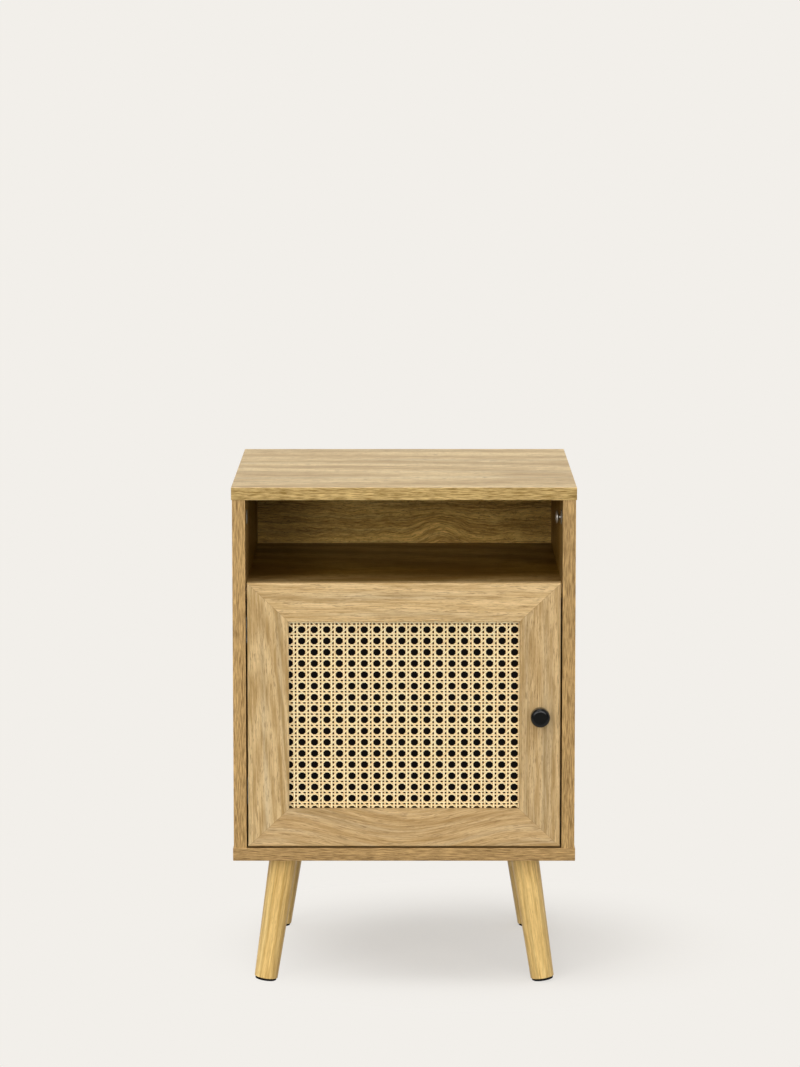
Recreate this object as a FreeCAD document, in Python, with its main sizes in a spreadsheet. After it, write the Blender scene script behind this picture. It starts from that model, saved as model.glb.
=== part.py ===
"""Storage side table: a small cabinet with an open niche and a cane door, on four splayed round legs.

The frame has +Z up and the front faces -Y. The origin lies on the floor under the middle of the
whole piece, its knob included. Sizes are millimetres, angles degrees.
"""
import FreeCAD, Part
import os
import re
import Sketcher

Vector = FreeCAD.Vector
Rotation = FreeCAD.Rotation

doc = FreeCAD.newDocument("storage_side_table")
sheet = doc.addObject("Spreadsheet::Sheet", "Sizes")

# Driving dimensions
SIZES = (
    ("width", 400, "table top, side to side"),
    ("depth", 400, "table top, front to back"),
    ("carcass_height", 440, "cabinet without its legs"),
    ("leg_height", 156, "floor to the cabinet's underside"),
    ("board", 15, "thickness of the panels"),
    ("lip", 1, "top and bottom panel past the sides and the door"),
    ("edge_soft", 0.8, "rounding of the top and bottom panel's edges"),
    ("fit", 0.1, "clearance of pieces that slide together"),
    ("cut_over", 1, "how far a cut starts outside the surface"),
    ("back_thick", 3, "back panel"),
    ("back_inset", 12, "back panel's groove from the rear edge"),
    ("groove_depth", 6, "groove for the back panel"),
    ("back_slack", 0.5, "room left at the groove's bottom"),
    ("door_drop", 112, "table's surface down to the door's top edge"),
    ("door_thick", 16, "door frame"),
    ("door_gap", 1.8, "gap round the door"),
    ("door_round", 2, "rounding of the door's outer edges"),
    ("stile_width", 48, "door stiles"),
    ("rail_width", 45, "door rails"),
    ("rebate_width", 8, "rebate behind the opening, sideways"),
    ("rebate_front", 6, "wood left in front of the rebate"),
    ("shelf_step", 5, "door's top edge above the shelf's surface"),
    ("shelf_gap", 4.5, "door's back to the shelf's front edge"),
    ("cane_thick", 2.4, "cane webbing"),
    ("cane_pitch_x", 14.57, "eyes of the cane, sideways"),
    ("cane_pitch_z", 13.29, "eyes of the cane, upwards"),
    ("cane_eye", 7.5, "diameter of an eye"),
    ("cane_shift_x", -2.5, "weave off the door's middle, sideways"),
    ("cane_shift_z", 0.35, "weave off the opening's middle, upwards"),
    ("backing_thick", 2, "dark board behind the cane"),
    ("strip_recess", 1, "cane strips below the door's back"),
    ("knob_radius", 11.25, "knob"),
    ("knob_out", 20, "knob's front past the door"),
    ("knob_neck_radius", 6.5, "knob's neck"),
    ("knob_neck", 8, "length of the neck"),
    ("knob_round", 4, "rounding of the knob's face"),
    ("knob_bore", 9, "screw in the knob"),
    ("knob_screw_radius", 2, "knob screw"),
    ("knob_screw_head", 4, "knob screw's head radius"),
    ("knob_screw_head_thick", 2.4, "knob screw's head"),
    ("pivot_in", 10, "hinge pin from the door's edge"),
    ("pivot_back", 6.5, "hinge pin behind the door's face"),
    ("hinge_end", 60, "hinge from the door's end"),
    ("pin_radius", 1.75, "hinge pin"),
    ("pin_play", 0.05, "running clearance of the pin"),
    ("eye_radius", 3.5, "hinge arm's eye"),
    ("arm_height", 13, "hinge arm, upwards"),
    ("arm_width", 5, "hinge arm, across"),
    ("arm_reach", 15, "pin to the arm's elbow"),
    ("arm_lean", 25, "angle of the arm's nose"),
    ("arm_bend", 50, "angle of the arm's shank"),
    ("arm_plate", 3, "arm's plate on the side panel"),
    ("arm_plate_height", 30, "arm's plate, upwards"),
    ("arm_plate_length", 44, "arm's plate, front to back"),
    ("arm_screw_end", 9, "arm's screws from the plate's end"),
    ("arm_play", 0.3, "arm to the pocket's ears"),
    ("ear_thick", 2, "ears and web of the hinge pocket"),
    ("notch_front", 2.5, "wood left in front of the hinge pocket"),
    ("notch_width", 20.5, "hinge pocket from the door's edge"),
    ("flange_thick", 1.5, "hinge pocket's flange"),
    ("flange_width", 14, "hinge pocket's flange past the web"),
    ("pocket_screw_step", 4.6, "pocket screws off the hinge's middle"),
    ("pocket_screw_length", 10, "pocket screws"),
    ("screw_radius", 1.75, "wood screws"),
    ("screw_head", 3.4, "wood screws' head radius"),
    ("screw_head_thick", 1.5, "wood screws' heads"),
    ("screw_bite", 9, "wood screws in the wood"),
    ("screw_play", 0.05, "clearance round a screw"),
    ("cam_radius", 7.5, "cam lock"),
    ("cam_depth", 12, "cam lock in the board"),
    ("cam_edge", 24.5, "cam lock from the board's edge"),
    ("cam_in", 40, "cam lock from the front or rear"),
    ("cam_rim", 0.9, "cam lock's rim"),
    ("cam_proud", 1.2, "cam lock's face above the board"),
    ("cam_slot", 9, "cross slot, length"),
    ("cam_slot_width", 1.6, "cross slot, width"),
    ("cam_slot_depth", 2, "cross slot, depth"),
    ("bolt_radius", 3, "cam bolt"),
    ("bolt_bite", 10, "cam bolt in the other board"),
    ("bolt_past", 1.5, "cam bolt's head past the cam's middle"),
    ("bolt_play", 0.1, "clearance round a cam bolt"),
    ("dowel_radius", 4, "wood dowel"),
    ("dowel_bite", 10, "dowel in the one board's face"),
    ("dowel_length", 30, "wood dowel, length"),
    ("dowel_step", 32, "dowel from its cam lock"),
    ("dowel_play", 0.05, "clearance round a dowel"),
    ("mitre_dowel_radius", 3, "dowel in the door's mitres"),
    ("mitre_dowel_length", 30, "mitre dowel, length"),
    ("leg_top_radius", 16.6, "leg at the cabinet"),
    ("leg_foot_radius", 13.8, "leg at the foot"),
    ("leg_splay", 8.4, "legs' lean to the side"),
    ("leg_in_front", 58.4, "front legs' tops from the side edge"),
    ("leg_in_rear", 66.3, "rear legs' tops from the side edge"),
    ("leg_in_depth", 57, "legs from the front and rear edge"),
    ("leg_spare", 12, "leg's blank past the cut at its top"),
    ("pad_radius", 12.5, "foot pad"),
    ("pad_thick", 3, "foot pad, thickness"),
    ("pad_flat", 0.5, "how far a pad is pressed flat on the floor"),
    ("leg_bolt_radius", 4, "leg bolt"),
    ("leg_bolt_in_leg", 25, "leg bolt in the leg"),
    ("leg_bolt_in_panel", 11, "leg bolt in the panel"),
    ("insert_radius", 6, "insert nut"),
    ("insert_start", 1.5, "insert nut above the panel's underside"),
    ("insert_length", 10, "insert nut, length"),
    ("catch_width", 46, "magnetic catch"),
    ("catch_depth", 24, "magnetic catch, front to back"),
    ("catch_height", 14, "magnetic catch, upwards"),
    ("catch_side", 30, "magnetic catch from the right side panel"),
    ("catch_screw_end", 7, "catch screws from its rear and ends"),
    ("magnet_width", 30, "magnet"),
    ("magnet_depth", 7, "magnet, front to back"),
    ("magnet_height", 8, "magnet, upwards"),
    ("strike_width", 30, "strike plate"),
    ("strike_height", 10, "strike plate, upwards"),
    ("strike_thick", 1.5, "strike plate, thickness"),
    ("strike_gap", 0.3, "strike plate to the magnet"),
)
for row, (alias, value, meaning) in enumerate(SIZES, start=1):
    sheet.set(f"A{row}", meaning)
    sheet.set(f"B{row}", str(value))
    sheet.setAlias(f"B{row}", alias)
doc.recompute()

# Places worked out from the driving dimensions
PLACES = {
    "front": "(knob_out - lip - depth) / 2",
    "back": "front + depth",
    "face": "front + lip",
    "top": "leg_height + carcass_height",
    "under_top": "top - board",
    "cabin_floor": "leg_height + board",
    "side_in": "width / 2 - lip - board",
    "side_mid": "side_in + board / 2",
    "groove_front": "back - back_inset - back_thick - 2 * fit",
    "back_reach": "groove_depth - back_slack",
    "door_half": "side_in - door_gap",
    "door_top": "top - door_drop",
    "door_low": "cabin_floor + door_gap",
    "door_tall": "door_top - door_low",
    "door_back": "face + door_thick",
    "open_half": "door_half - stile_width",
    "open_top": "door_top - rail_width",
    "open_low": "door_low + rail_width",
    "shelf_low": "door_top - shelf_step - board",
    "shelf_front": "door_back + shelf_gap",
    "shelf_back": "groove_front",
    "backing_front": "face + rebate_front + cane_thick",
    "strip_front": "backing_front + backing_thick",
    "strip_thick": "door_back - strip_recess - strip_front",
    "strip_width": "rebate_width - fit",
    "knob_x": "door_half - stile_width / 2",
    "knob_z": "(door_top + door_low) / 2",
    "pin_x": "pivot_in - door_half",
    "pin_y": "face + pivot_back",
    "elbow_x": "pin_x + arm_reach * sin(arm_lean * 1 deg)",
    "elbow_y": "pin_y + arm_reach * cos(arm_lean * 1 deg)",
    "shank": "(elbow_x + side_in - arm_width / 2 * cos(arm_bend * 1 deg)) / sin(arm_bend * 1 deg)",
    "plate_front": "elbow_y + shank * cos(arm_bend * 1 deg) - arm_width",
    "ear_gap": "arm_height + 2 * arm_play",
    "pocket_height": "ear_gap + 2 * ear_thick",
    "notch_height": "pocket_height + 2 * fit",
    "web_x": "notch_width - fit - ear_thick - door_half",
    "leg_foot": "pad_thick * cos(leg_splay * 1 deg) + pad_radius * sin(leg_splay * 1 deg) - pad_flat",
    "leg_rise": "leg_height - leg_foot",
    "leg_length": "leg_rise / cos(leg_splay * 1 deg)",
    "leg_blank": "leg_length + leg_spare",
    "leg_blank_radius": "leg_foot_radius + (leg_top_radius - leg_foot_radius) * leg_blank / leg_length",
    "catch_x": "side_in - catch_side - catch_width",
    "catch_front": "door_back + strike_thick + strike_gap",
    "strike_z": "shelf_low - catch_height / 2",
}
WORD = re.compile(r"\b[a-z][a-z0-9_]*\b(?!\()")
ANGLE_UNIT = "deg"

ALONG = {
    "+X": Rotation(Vector(0, 1, 0), 90),
    "-X": Rotation(Vector(0, 1, 0), -90),
    "+Y": Rotation(Vector(1, 0, 0), -90),
    "-Y": Rotation(Vector(1, 0, 0), 90),
    "+Z": Rotation(),
    "-Z": Rotation(Vector(1, 0, 0), 180),
}
OPPOSITE = {"+": "-", "-": "+"}
SAME = 0.001
NODES = []


def formula(text):
    """Write a formula in the sheet's words out as an expression on the sheet's cells."""
    def spell(match):
        word = match.group(0)
        if word in PLACES:
            return "(" + formula(PLACES[word]) + ")"
        return word if word == ANGLE_UNIT else "Sizes." + word
    return WORD.sub(spell, text)


def size(alias):
    """The plain number in a cell of the sheet."""
    return float(sheet.get(alias))


def bind(obj, **sizes):
    for name, text in sizes.items():
        obj.setExpression(name, formula(text))


def place(obj, x, y, z, turn=None):
    obj.Placement = FreeCAD.Placement(Vector(), turn or Rotation())
    for axis, text in zip("xyz", (x, y, z)):
        obj.setExpression("Placement.Base." + axis, formula(text))
    return obj


def box(x, y, z, length, width, height):
    part = doc.addObject("Part::Box", "block")
    bind(part, Length=length, Width=width, Height=height)
    return place(part, x, y, z)


def centred_box(x, y, z, length, width, height):
    return box(f"{x} - {length} / 2", f"{y} - {width} / 2", f"{z} - {height} / 2", length, width, height)


def rod(x, y, z, radius, length, along="+Z"):
    part = doc.addObject("Part::Cylinder", "rod")
    bind(part, Radius=radius, Height=length)
    return place(part, x, y, z, ALONG[along])


def lean(obj, axis, angle):
    """Turn a placed piece about its own base point by an angle that a formula gives."""
    obj.Placement = FreeCAD.Placement(obj.Placement.Base, Rotation(axis, 1))
    bind(obj, **{"Placement.Rotation.Angle": f"({angle}) * 1 deg"})
    return obj


def fuse(*pieces):
    joined = doc.addObject("Part::MultiFuse", "joined")
    joined.Shapes = list(pieces)
    return joined


def cut(base, *tools):
    trimmed = doc.addObject("Part::Cut", "trimmed")
    trimmed.Base = base
    trimmed.Tool = tools[0] if len(tools) == 1 else fuse(*tools)
    return trimmed


def keep(label, *solids):
    """Make one node of a solid, or of a group of like solids."""
    node = solids[0]
    if len(solids) > 1:
        node = doc.addObject("Part::Compound", "group")
        node.Links = list(solids)
    node.Label = label
    NODES.append(node)


def outline(body, plane, corners):
    """A closed sketch of straight lines whose corners are bound to formulas."""
    sketch = body.newObject("Sketcher::SketchObject", "outline")
    support = [feature for feature in body.Origin.OriginFeatures if feature.Role == plane]
    sketch.AttachmentSupport = [(support[0], "")]
    sketch.MapMode = "FlatFace"
    count = len(corners)
    for index in range(count):
        start = Vector(index, index * index, 0)
        after = (index + 1) % count
        sketch.addGeometry(Part.LineSegment(start, Vector(after, after * after, 0)), False)
    for index in range(count):
        sketch.addConstraint(Sketcher.Constraint("Coincident", index, 2, (index + 1) % count, 1))
    for index, corner in enumerate(corners):
        for kind, text in zip(("DistanceX", "DistanceY"), corner):
            rule = sketch.addConstraint(Sketcher.Constraint(kind, -1, 1, index, 1, 1.0))
            sketch.setExpression(f"Constraints[{rule}]", formula(text))
    return sketch


def round_edges(body, base, chosen, radius):
    """Round the edges of a feature that a test picks, and make that the body's tip."""
    doc.recompute()
    names = [f"Edge{n}" for n, edge in enumerate(base.Shape.Edges, start=1) if chosen(edge)]
    rounded = body.newObject("PartDesign::Fillet", "rounded")
    rounded.Base = (base, names)
    bind(rounded, Radius=radius)
    body.Tip = rounded
    return rounded


def soft_board(x, y, z, length, width, height):
    """A board with all its edges eased."""
    body = doc.addObject("PartDesign::Body", "board")
    slab = body.newObject("PartDesign::AdditiveBox", "slab")
    bind(slab, Length=length, Width=width, Height=height)
    round_edges(body, slab, lambda edge: True, "edge_soft")
    return place(body, x, y, z)


def frame_member(corners, x, z, on_outside):
    """A mitred door member, its outline in the door's plane, with its outer edges rounded."""
    body = doc.addObject("PartDesign::Body", "member")
    pad = body.newObject("PartDesign::Pad", "pad")
    pad.Profile = outline(body, "XZ_Plane", corners)
    pad.Reversed = True
    bind(pad, Length="door_thick")

    def outer(edge):
        first, last = (vertex.Point for vertex in edge.Vertexes)
        lengthwise = abs(first.y - last.y) < SAME
        return lengthwise and on_outside(first) and on_outside(last)

    round_edges(body, pad, outer, "door_round")
    return place(body, x, "face", z)


def screw(x, y, z, along, bite):
    """A screw whose head lies on the surface at a point and whose shank goes in along an axis."""
    backwards = OPPOSITE[along[0]] + along[1]
    shank = rod(x, y, z, "screw_radius", bite, along)
    head = rod(x, y, z, "screw_head", "screw_head_thick", backwards)
    return fuse(shank, head)


def screw_hole(x, y, z, along, bite):
    return rod(x, y, z, "screw_radius + screw_play", f"{bite} + fit", along)


def cam_lock(x, y, z, along, bolt_along):
    """A cam lock let into a board at a point of its face, with a bore for its bolt."""
    backwards = OPPOSITE[along[0]] + along[1]
    into = f"{along[0]} 1"
    barrel = rod(x, y, z, "cam_radius", "cam_depth", along)
    rim = rod(x, y, z, "cam_radius + cam_rim", "cam_proud", backwards)
    middle = {"X": x, "Y": y, "Z": z}
    axis = along[1]
    slot_at = dict(middle)
    slot_at[axis] = f"({middle[axis]} - ({into}) * (cam_proud - cam_slot_depth / 2))"
    tools = []
    for long_way in sorted(set("XYZ") - {axis}):
        extent = {way: "cam_slot_width" for way in "XYZ"}
        extent[axis] = "cam_slot_depth"
        extent[long_way] = "cam_slot"
        tools.append(centred_box(*(slot_at[way] for way in "XYZ"), *(extent[way] for way in "XYZ")))
    bore_at = dict(middle)
    bore_at[axis] = f"({middle[axis]} + ({into}) * board / 2)"
    way = bolt_along[1]
    bore_at[way] = f"({middle[way]} - ({bolt_along[0]} 1) * (bolt_past + fit))"
    reach = "cam_radius + bolt_past + cut_over"
    tools.append(rod(*(bore_at[way] for way in "XYZ"), "bolt_radius + bolt_play", reach, bolt_along))
    return cut(fuse(barrel, rim), *tools)


# Cabinet joints: cam locks, their bolts and dowels, with the holes that each board needs
SIDES = {"left": -1, "right": 1}
cam_locks = []
cam_bolts = []
dowels = []
holes = {"top": [], "bottom": [], "left": [], "right": [], "shelf": []}
bolt_hole = "bolt_radius + bolt_play"
bolt_long = "bolt_bite + cam_edge + bolt_past"
bolt_room = "cam_edge + bolt_past + fit"
dowel_hole = "dowel_radius + dowel_play"
dowel_rest = "dowel_length - dowel_bite"

for side, sign in SIDES.items():
    outward = "+X" if sign > 0 else "-X"
    inward = "-X" if sign > 0 else "+X"
    edge_x = f"{sign} * side_mid"
    face_x = f"{sign} * side_in"
    for end, joint_z, up in (("top", "under_top", "+"), ("bottom", "cabin_floor", "-")):
        away = up + "Z"
        back_down = OPPOSITE[up] + "Z"
        for row_y, step in (("front + cam_in", "+"), ("back - cam_in", "-")):
            cam_z = f"({joint_z} - ({up} 1) * cam_edge)"
            cam_locks.append(cam_lock(face_x, f"({row_y})", cam_z, outward, away))
            bolt_z = f"{joint_z} + ({up} 1) * bolt_bite"
            cam_bolts.append(rod(edge_x, row_y, bolt_z, "bolt_radius", bolt_long, back_down))
            holes[end].append(rod(edge_x, row_y, joint_z, bolt_hole, "bolt_bite + fit", away))
            holes[side].append(rod(edge_x, row_y, joint_z, bolt_hole, bolt_room, back_down))
            holes[side].append(rod(face_x, row_y, cam_z, "cam_radius + fit", "cam_depth + fit", outward))
            dowel_y = f"{row_y} {step} dowel_step"
            dowel_z = f"{joint_z} + ({up} 1) * dowel_bite"
            dowels.append(rod(edge_x, dowel_y, dowel_z, "dowel_radius", "dowel_length", back_down))
            holes[end].append(rod(edge_x, dowel_y, joint_z, dowel_hole, "dowel_bite + fit", away))
            holes[side].append(rod(edge_x, dowel_y, joint_z, dowel_hole, f"{dowel_rest} + fit", back_down))
    shelf_mid = "shelf_low + board / 2"
    for row_y, step in (("shelf_front + cam_in", "+"), ("shelf_back - cam_in", "-")):
        cam_x = f"({sign} * (side_in - cam_edge))"
        cam_locks.append(cam_lock(cam_x, f"({row_y})", "shelf_low", "+Z", outward))
        bolt_x = f"{sign} * (side_in + bolt_bite)"
        cam_bolts.append(rod(bolt_x, row_y, shelf_mid, "bolt_radius", bolt_long, inward))
        holes[side].append(rod(face_x, row_y, shelf_mid, bolt_hole, "bolt_bite + fit", outward))
        holes["shelf"].append(rod(face_x, row_y, shelf_mid, bolt_hole, bolt_room, inward))
        holes["shelf"].append(rod(cam_x, row_y, "shelf_low", "cam_radius + fit", "cam_depth + fit"))
        dowel_y = f"{row_y} {step} dowel_step"
        dowel_x = f"{sign} * (side_in + dowel_bite)"
        dowels.append(rod(dowel_x, dowel_y, shelf_mid, "dowel_radius", "dowel_length", inward))
        holes[side].append(rod(face_x, dowel_y, shelf_mid, dowel_hole, "dowel_bite + fit", outward))
        holes["shelf"].append(rod(face_x, dowel_y, shelf_mid, dowel_hole, f"{dowel_rest} + fit", inward))

keep("cam_locks", *cam_locks)
keep("cam_bolts", *cam_bolts)
keep("cabinet_dowels", *dowels)

# Legs, their bolts and insert nuts, and the foot pads
leg_bolts = []
insert_nuts = []
leg_bolt_hole = "leg_bolt_radius + screw_play"
leg_bolt_long = "leg_bolt_in_leg + leg_bolt_in_panel"
floor_cut = ("-width", "-depth", "-leg_height", "2 * width", "2 * depth", "leg_height")
ROWS = {"front": ("front + leg_in_depth", "leg_in_front"), "rear": ("back - leg_in_depth", "leg_in_rear")}


def on_leg_axis(sign, leg_in, up):
    """X and Z of the point on a leg's axis a distance above the cabinet's underside."""
    x = f"{sign} * (width / 2 - {leg_in} - ({up}) * sin(leg_splay * 1 deg))"
    z = f"leg_height + ({up}) * cos(leg_splay * 1 deg)"
    return x, z


for row, (leg_y, leg_in) in ROWS.items():
    for side, sign in SIDES.items():
        def along_leg(radius, start, length):
            x, z = on_leg_axis(sign, leg_in, start)
            return lean(rod(x, leg_y, z, radius, length), Vector(0, 1, 0), f"{-sign} * leg_splay")

        foot_x, foot_z = on_leg_axis(sign, leg_in, "-leg_length")
        blank = doc.addObject("Part::Cone", "blank")
        bind(blank, Radius1="leg_foot_radius", Radius2="leg_blank_radius", Height="leg_blank")
        place(blank, foot_x, leg_y, foot_z)
        lean(blank, Vector(0, 1, 0), f"{-sign} * leg_splay")
        above = box("-width", "-depth", "leg_height", "2 * width", "2 * depth", "carcass_height")
        bolt_bore = along_leg(leg_bolt_hole, "-leg_bolt_in_leg - fit", "leg_bolt_in_leg + leg_spare")
        keep(f"{row}_{side}_leg", cut(blank, above, bolt_bore))
        pad = along_leg("pad_radius", "-leg_length - pad_thick", "pad_thick")
        keep(f"{row}_{side}_foot_pad", cut(pad, box(*floor_cut)))
        leg_bolts.append(along_leg("leg_bolt_radius", "-leg_bolt_in_leg", leg_bolt_long))
        nut = along_leg("insert_radius", "insert_start", "insert_length")
        nut_bore = along_leg(leg_bolt_hole, "-insert_start", "leg_spare + insert_length")
        insert_nuts.append(cut(nut, nut_bore))
        nut_room = "insert_start + insert_length + fit + leg_spare"
        holes["bottom"].append(along_leg("insert_radius + screw_play", "-leg_spare", nut_room))

keep("leg_bolts", *leg_bolts)
keep("leg_insert_nuts", *insert_nuts)

# Hinges: an arm on the left side panel, and a pocket in the stile that holds the pin
HINGES = {"upper": "(door_top - hinge_end)", "lower": "(door_low + hinge_end)"}
stile_cuts = []
hinge_pins = []
arm_screws = []
pocket_screws = []
inner_face = "-side_in"
for level, hinge_z in HINGES.items():
    arm_low = f"{hinge_z} - arm_height / 2"
    eye = rod("pin_x", "pin_y", arm_low, "eye_radius", "arm_height")
    nose_x = "pin_x - arm_width / 2 * cos(arm_lean * 1 deg)"
    nose_y = "pin_y + arm_width / 2 * sin(arm_lean * 1 deg)"
    nose = box(nose_x, nose_y, arm_low, "arm_width", "arm_reach", "arm_height")
    lean(nose, Vector(0, 0, 1), "-arm_lean")
    elbow = rod("elbow_x", "elbow_y", arm_low, "arm_width / 2", "arm_height")
    shank_x = "elbow_x - arm_width / 2 * cos(arm_bend * 1 deg)"
    shank_y = "elbow_y - arm_width / 2 * sin(arm_bend * 1 deg)"
    shank = box(shank_x, shank_y, arm_low, "arm_width", "shank", "arm_height")
    lean(shank, Vector(0, 0, 1), "arm_bend")
    plate_low = f"{hinge_z} - arm_plate_height / 2"
    plate = box(inner_face, "plate_front", plate_low, "arm_plate", "arm_plate_length", "arm_plate_height")
    pin_low = f"{hinge_z} - pocket_height / 2"
    pin_hole = ("pin_x", "pin_y", pin_low, "pin_radius + pin_play", "pocket_height")
    arm_cuts = [rod(*pin_hole)]
    plate_x = "arm_plate - side_in"
    for sign in (1, -1):
        screw_y = "plate_front + arm_plate_length - arm_screw_end"
        screw_z = f"{hinge_z} + {sign} * (arm_plate_height / 2 - arm_screw_end)"
        bite = "arm_plate + screw_bite"
        arm_screws.append(screw(plate_x, screw_y, screw_z, "-X", bite))
        arm_cuts.append(screw_hole(plate_x, screw_y, screw_z, "-X", bite))
        holes["left"].append(screw_hole(plate_x, screw_y, screw_z, "-X", bite))
    keep(f"{level}_hinge_arm", cut(fuse(eye, nose, elbow, shank, plate), *arm_cuts))

    notch_deep = "door_thick - notch_front + cut_over"
    notch_long = "notch_width + cut_over"
    notch_low = f"{hinge_z} - notch_height / 2"
    notch_x = "-door_half - cut_over"
    stile_cuts.append(box(notch_x, "face + notch_front", notch_low, notch_long, notch_deep, "notch_height"))
    ear_x = "fit - door_half"
    ear_front = "face + notch_front + fit"
    ear_deep = "door_back - face - notch_front - fit"
    shell = box(ear_x, ear_front, pin_low, "notch_width - 2 * fit", ear_deep, "pocket_height")
    flange_long = "ear_thick + flange_width"
    flange = box("web_x", "door_back", pin_low, flange_long, "flange_thick", "pocket_height")
    room_low = f"{hinge_z} - ear_gap / 2"
    room_long = "web_x + door_half - fit + cut_over"
    room = box(ear_x + " - cut_over", ear_front + " - cut_over", room_low, room_long,
               ear_deep + " + 2 * cut_over", "ear_gap")
    pocket_cuts = [room, rod(*pin_hole)]
    for sign in (1, -1):
        screw_x = "web_x + ear_thick + flange_width / 2"
        screw_y = "door_back + flange_thick"
        screw_z = f"{hinge_z} + {sign} * pocket_screw_step"
        pocket_screws.append(screw(screw_x, screw_y, screw_z, "-Y", "pocket_screw_length"))
        pocket_cuts.append(screw_hole(screw_x, screw_y, screw_z, "-Y", "pocket_screw_length"))
        stile_cuts.append(screw_hole(screw_x, screw_y, screw_z, "-Y", "pocket_screw_length"))
    keep(f"{level}_hinge_pocket", cut(fuse(shell, flange), *pocket_cuts))
    hinge_pins.append(rod("pin_x", "pin_y", pin_low, "pin_radius", "pocket_height"))

keep("hinge_pins", *hinge_pins)
keep("hinge_arm_screws", *arm_screws)
keep("hinge_pocket_screws", *pocket_screws)

# Magnetic catch under the shelf, and its strike plate on the door
catch_under = "shelf_low - catch_height"
catch = box("catch_x", "catch_front", catch_under, "catch_width", "catch_depth", "catch_height")
magnet_x = "catch_x + (catch_width - magnet_width) / 2"
magnet_z = "strike_z - magnet_height / 2"
magnet_room = box(magnet_x + " - fit", "catch_front - cut_over", magnet_z + " - fit",
                  "magnet_width + 2 * fit", "magnet_depth + cut_over + fit", "magnet_height + 2 * fit")
catch_cuts = [magnet_room]
catch_screws = []
for screw_x in ("catch_x + catch_screw_end", "catch_x + catch_width - catch_screw_end"):
    screw_y = "catch_front + catch_depth - catch_screw_end"
    bite = "catch_height + screw_bite"
    catch_screws.append(screw(screw_x, screw_y, catch_under, "+Z", bite))
    catch_cuts.append(screw_hole(screw_x, screw_y, catch_under, "+Z", bite))
    holes["shelf"].append(screw_hole(screw_x, screw_y, catch_under, "+Z", bite))
keep("catch_body", cut(catch, *catch_cuts))
keep("catch_magnet", box(magnet_x, "catch_front", magnet_z, "magnet_width", "magnet_depth", "magnet_height"))
keep("catch_screws", *catch_screws)

strike_x = "catch_x + catch_width / 2"
strike = box(strike_x + " - strike_width / 2", "door_back", "strike_z - strike_height / 2",
             "strike_width", "strike_thick", "strike_height")
head_room = rod(strike_x, "door_back + cut_over + strike_thick", "strike_z", "screw_head + fit",
                "cut_over + screw_head_thick + fit", "-Y")
strike_bite = ("door_back + strike_thick - screw_head_thick", "strike_z", "-Y", "screw_bite")
keep("strike_plate", cut(strike, head_room, screw_hole(strike_x, *strike_bite)))
keep("strike_screw", screw(strike_x, *strike_bite))
rail_cuts = [screw_hole(strike_x, *strike_bite)]
rail_cuts.append(rod(strike_x, "door_back + cut_over", "strike_z", "screw_head + fit",
                     "cut_over + screw_head_thick - strike_thick + fit", "-Y"))

# Cabinet boards
groove_wide = "back_thick + 2 * fit"
for side, sign in SIDES.items():
    low_x = "side_in" if sign > 0 else "-side_in - board"
    panel = box(low_x, "face", "cabin_floor", "board", "depth - 2 * lip", "under_top - cabin_floor")
    groove_x = "side_in - cut_over" if sign > 0 else "-side_in - groove_depth"
    groove = box(groove_x, "groove_front", "cabin_floor - cut_over", "groove_depth + cut_over", groove_wide,
                 "under_top - cabin_floor + 2 * cut_over")
    keep(f"{side}_side_panel", cut(panel, groove, *holes[side]))

slot_x = "-side_in - groove_depth"
slot_long = "2 * (side_in + groove_depth)"
top = soft_board("-width / 2", "front", "under_top", "width", "depth", "board")
slot_deep = "groove_depth + cut_over"
top_slot = box(slot_x, "groove_front", "under_top - cut_over", slot_long, groove_wide, slot_deep)
keep("top_panel", cut(top, top_slot, *holes["top"]))
bottom = soft_board("-width / 2", "front", "leg_height", "width", "depth", "board")
slot_low = "cabin_floor - groove_depth"
bottom_slot = box(slot_x, "groove_front", slot_low, slot_long, groove_wide, slot_deep)
keep("bottom_panel", cut(bottom, bottom_slot, *holes["bottom"]))
shelf = box("-side_in", "shelf_front", "shelf_low", "2 * side_in", "shelf_back - shelf_front", "board")
keep("fixed_shelf", cut(shelf, *holes["shelf"]))
back_wide = "2 * (side_in + back_reach)"
back_tall = "under_top - cabin_floor + 2 * back_reach"
keep("back_panel", box("-side_in - back_reach", "groove_front + fit", "cabin_floor - back_reach",
                       back_wide, "back_thick", back_tall))

# Door frame: four mitred members round a rebate, with a dowel across each mitre
zero = "0"
far_in = "door_tall - rail_width"
long_in = "2 * door_half - stile_width"
MEMBERS = {
    "left_door_stile": (
        ((zero, zero), ("stile_width", "rail_width"), ("stile_width", far_in), (zero, "door_tall")),
        "-door_half", "door_low", lambda point: abs(point.x) < SAME),
    "right_door_stile": (
        (("stile_width", zero), ("stile_width", "door_tall"), (zero, far_in), (zero, "rail_width")),
        "open_half", "door_low", lambda point: abs(point.x - size("stile_width")) < SAME),
    "bottom_door_rail": (
        ((zero, zero), ("2 * door_half", zero), (long_in, "rail_width"), ("stile_width", "rail_width")),
        "-door_half", "door_low", lambda point: abs(point.z) < SAME),
    "top_door_rail": (
        (("stile_width", zero), (long_in, zero), ("2 * door_half", "rail_width"), (zero, "rail_width")),
        "-door_half", "open_top", lambda point: abs(point.z - size("rail_width")) < SAME),
}
OWN_CUTS = {"left_door_stile": stile_cuts, "top_door_rail": rail_cuts, "bottom_door_rail": []}
knob_screw_hole = "knob_screw_radius + screw_play"
OWN_CUTS["right_door_stile"] = [rod("knob_x", "door_back", "knob_z", knob_screw_hole, "door_thick", "-Y")]
rebate_half = "open_half + rebate_width"
MITRE = "atan(rail_width / stile_width)"


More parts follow.
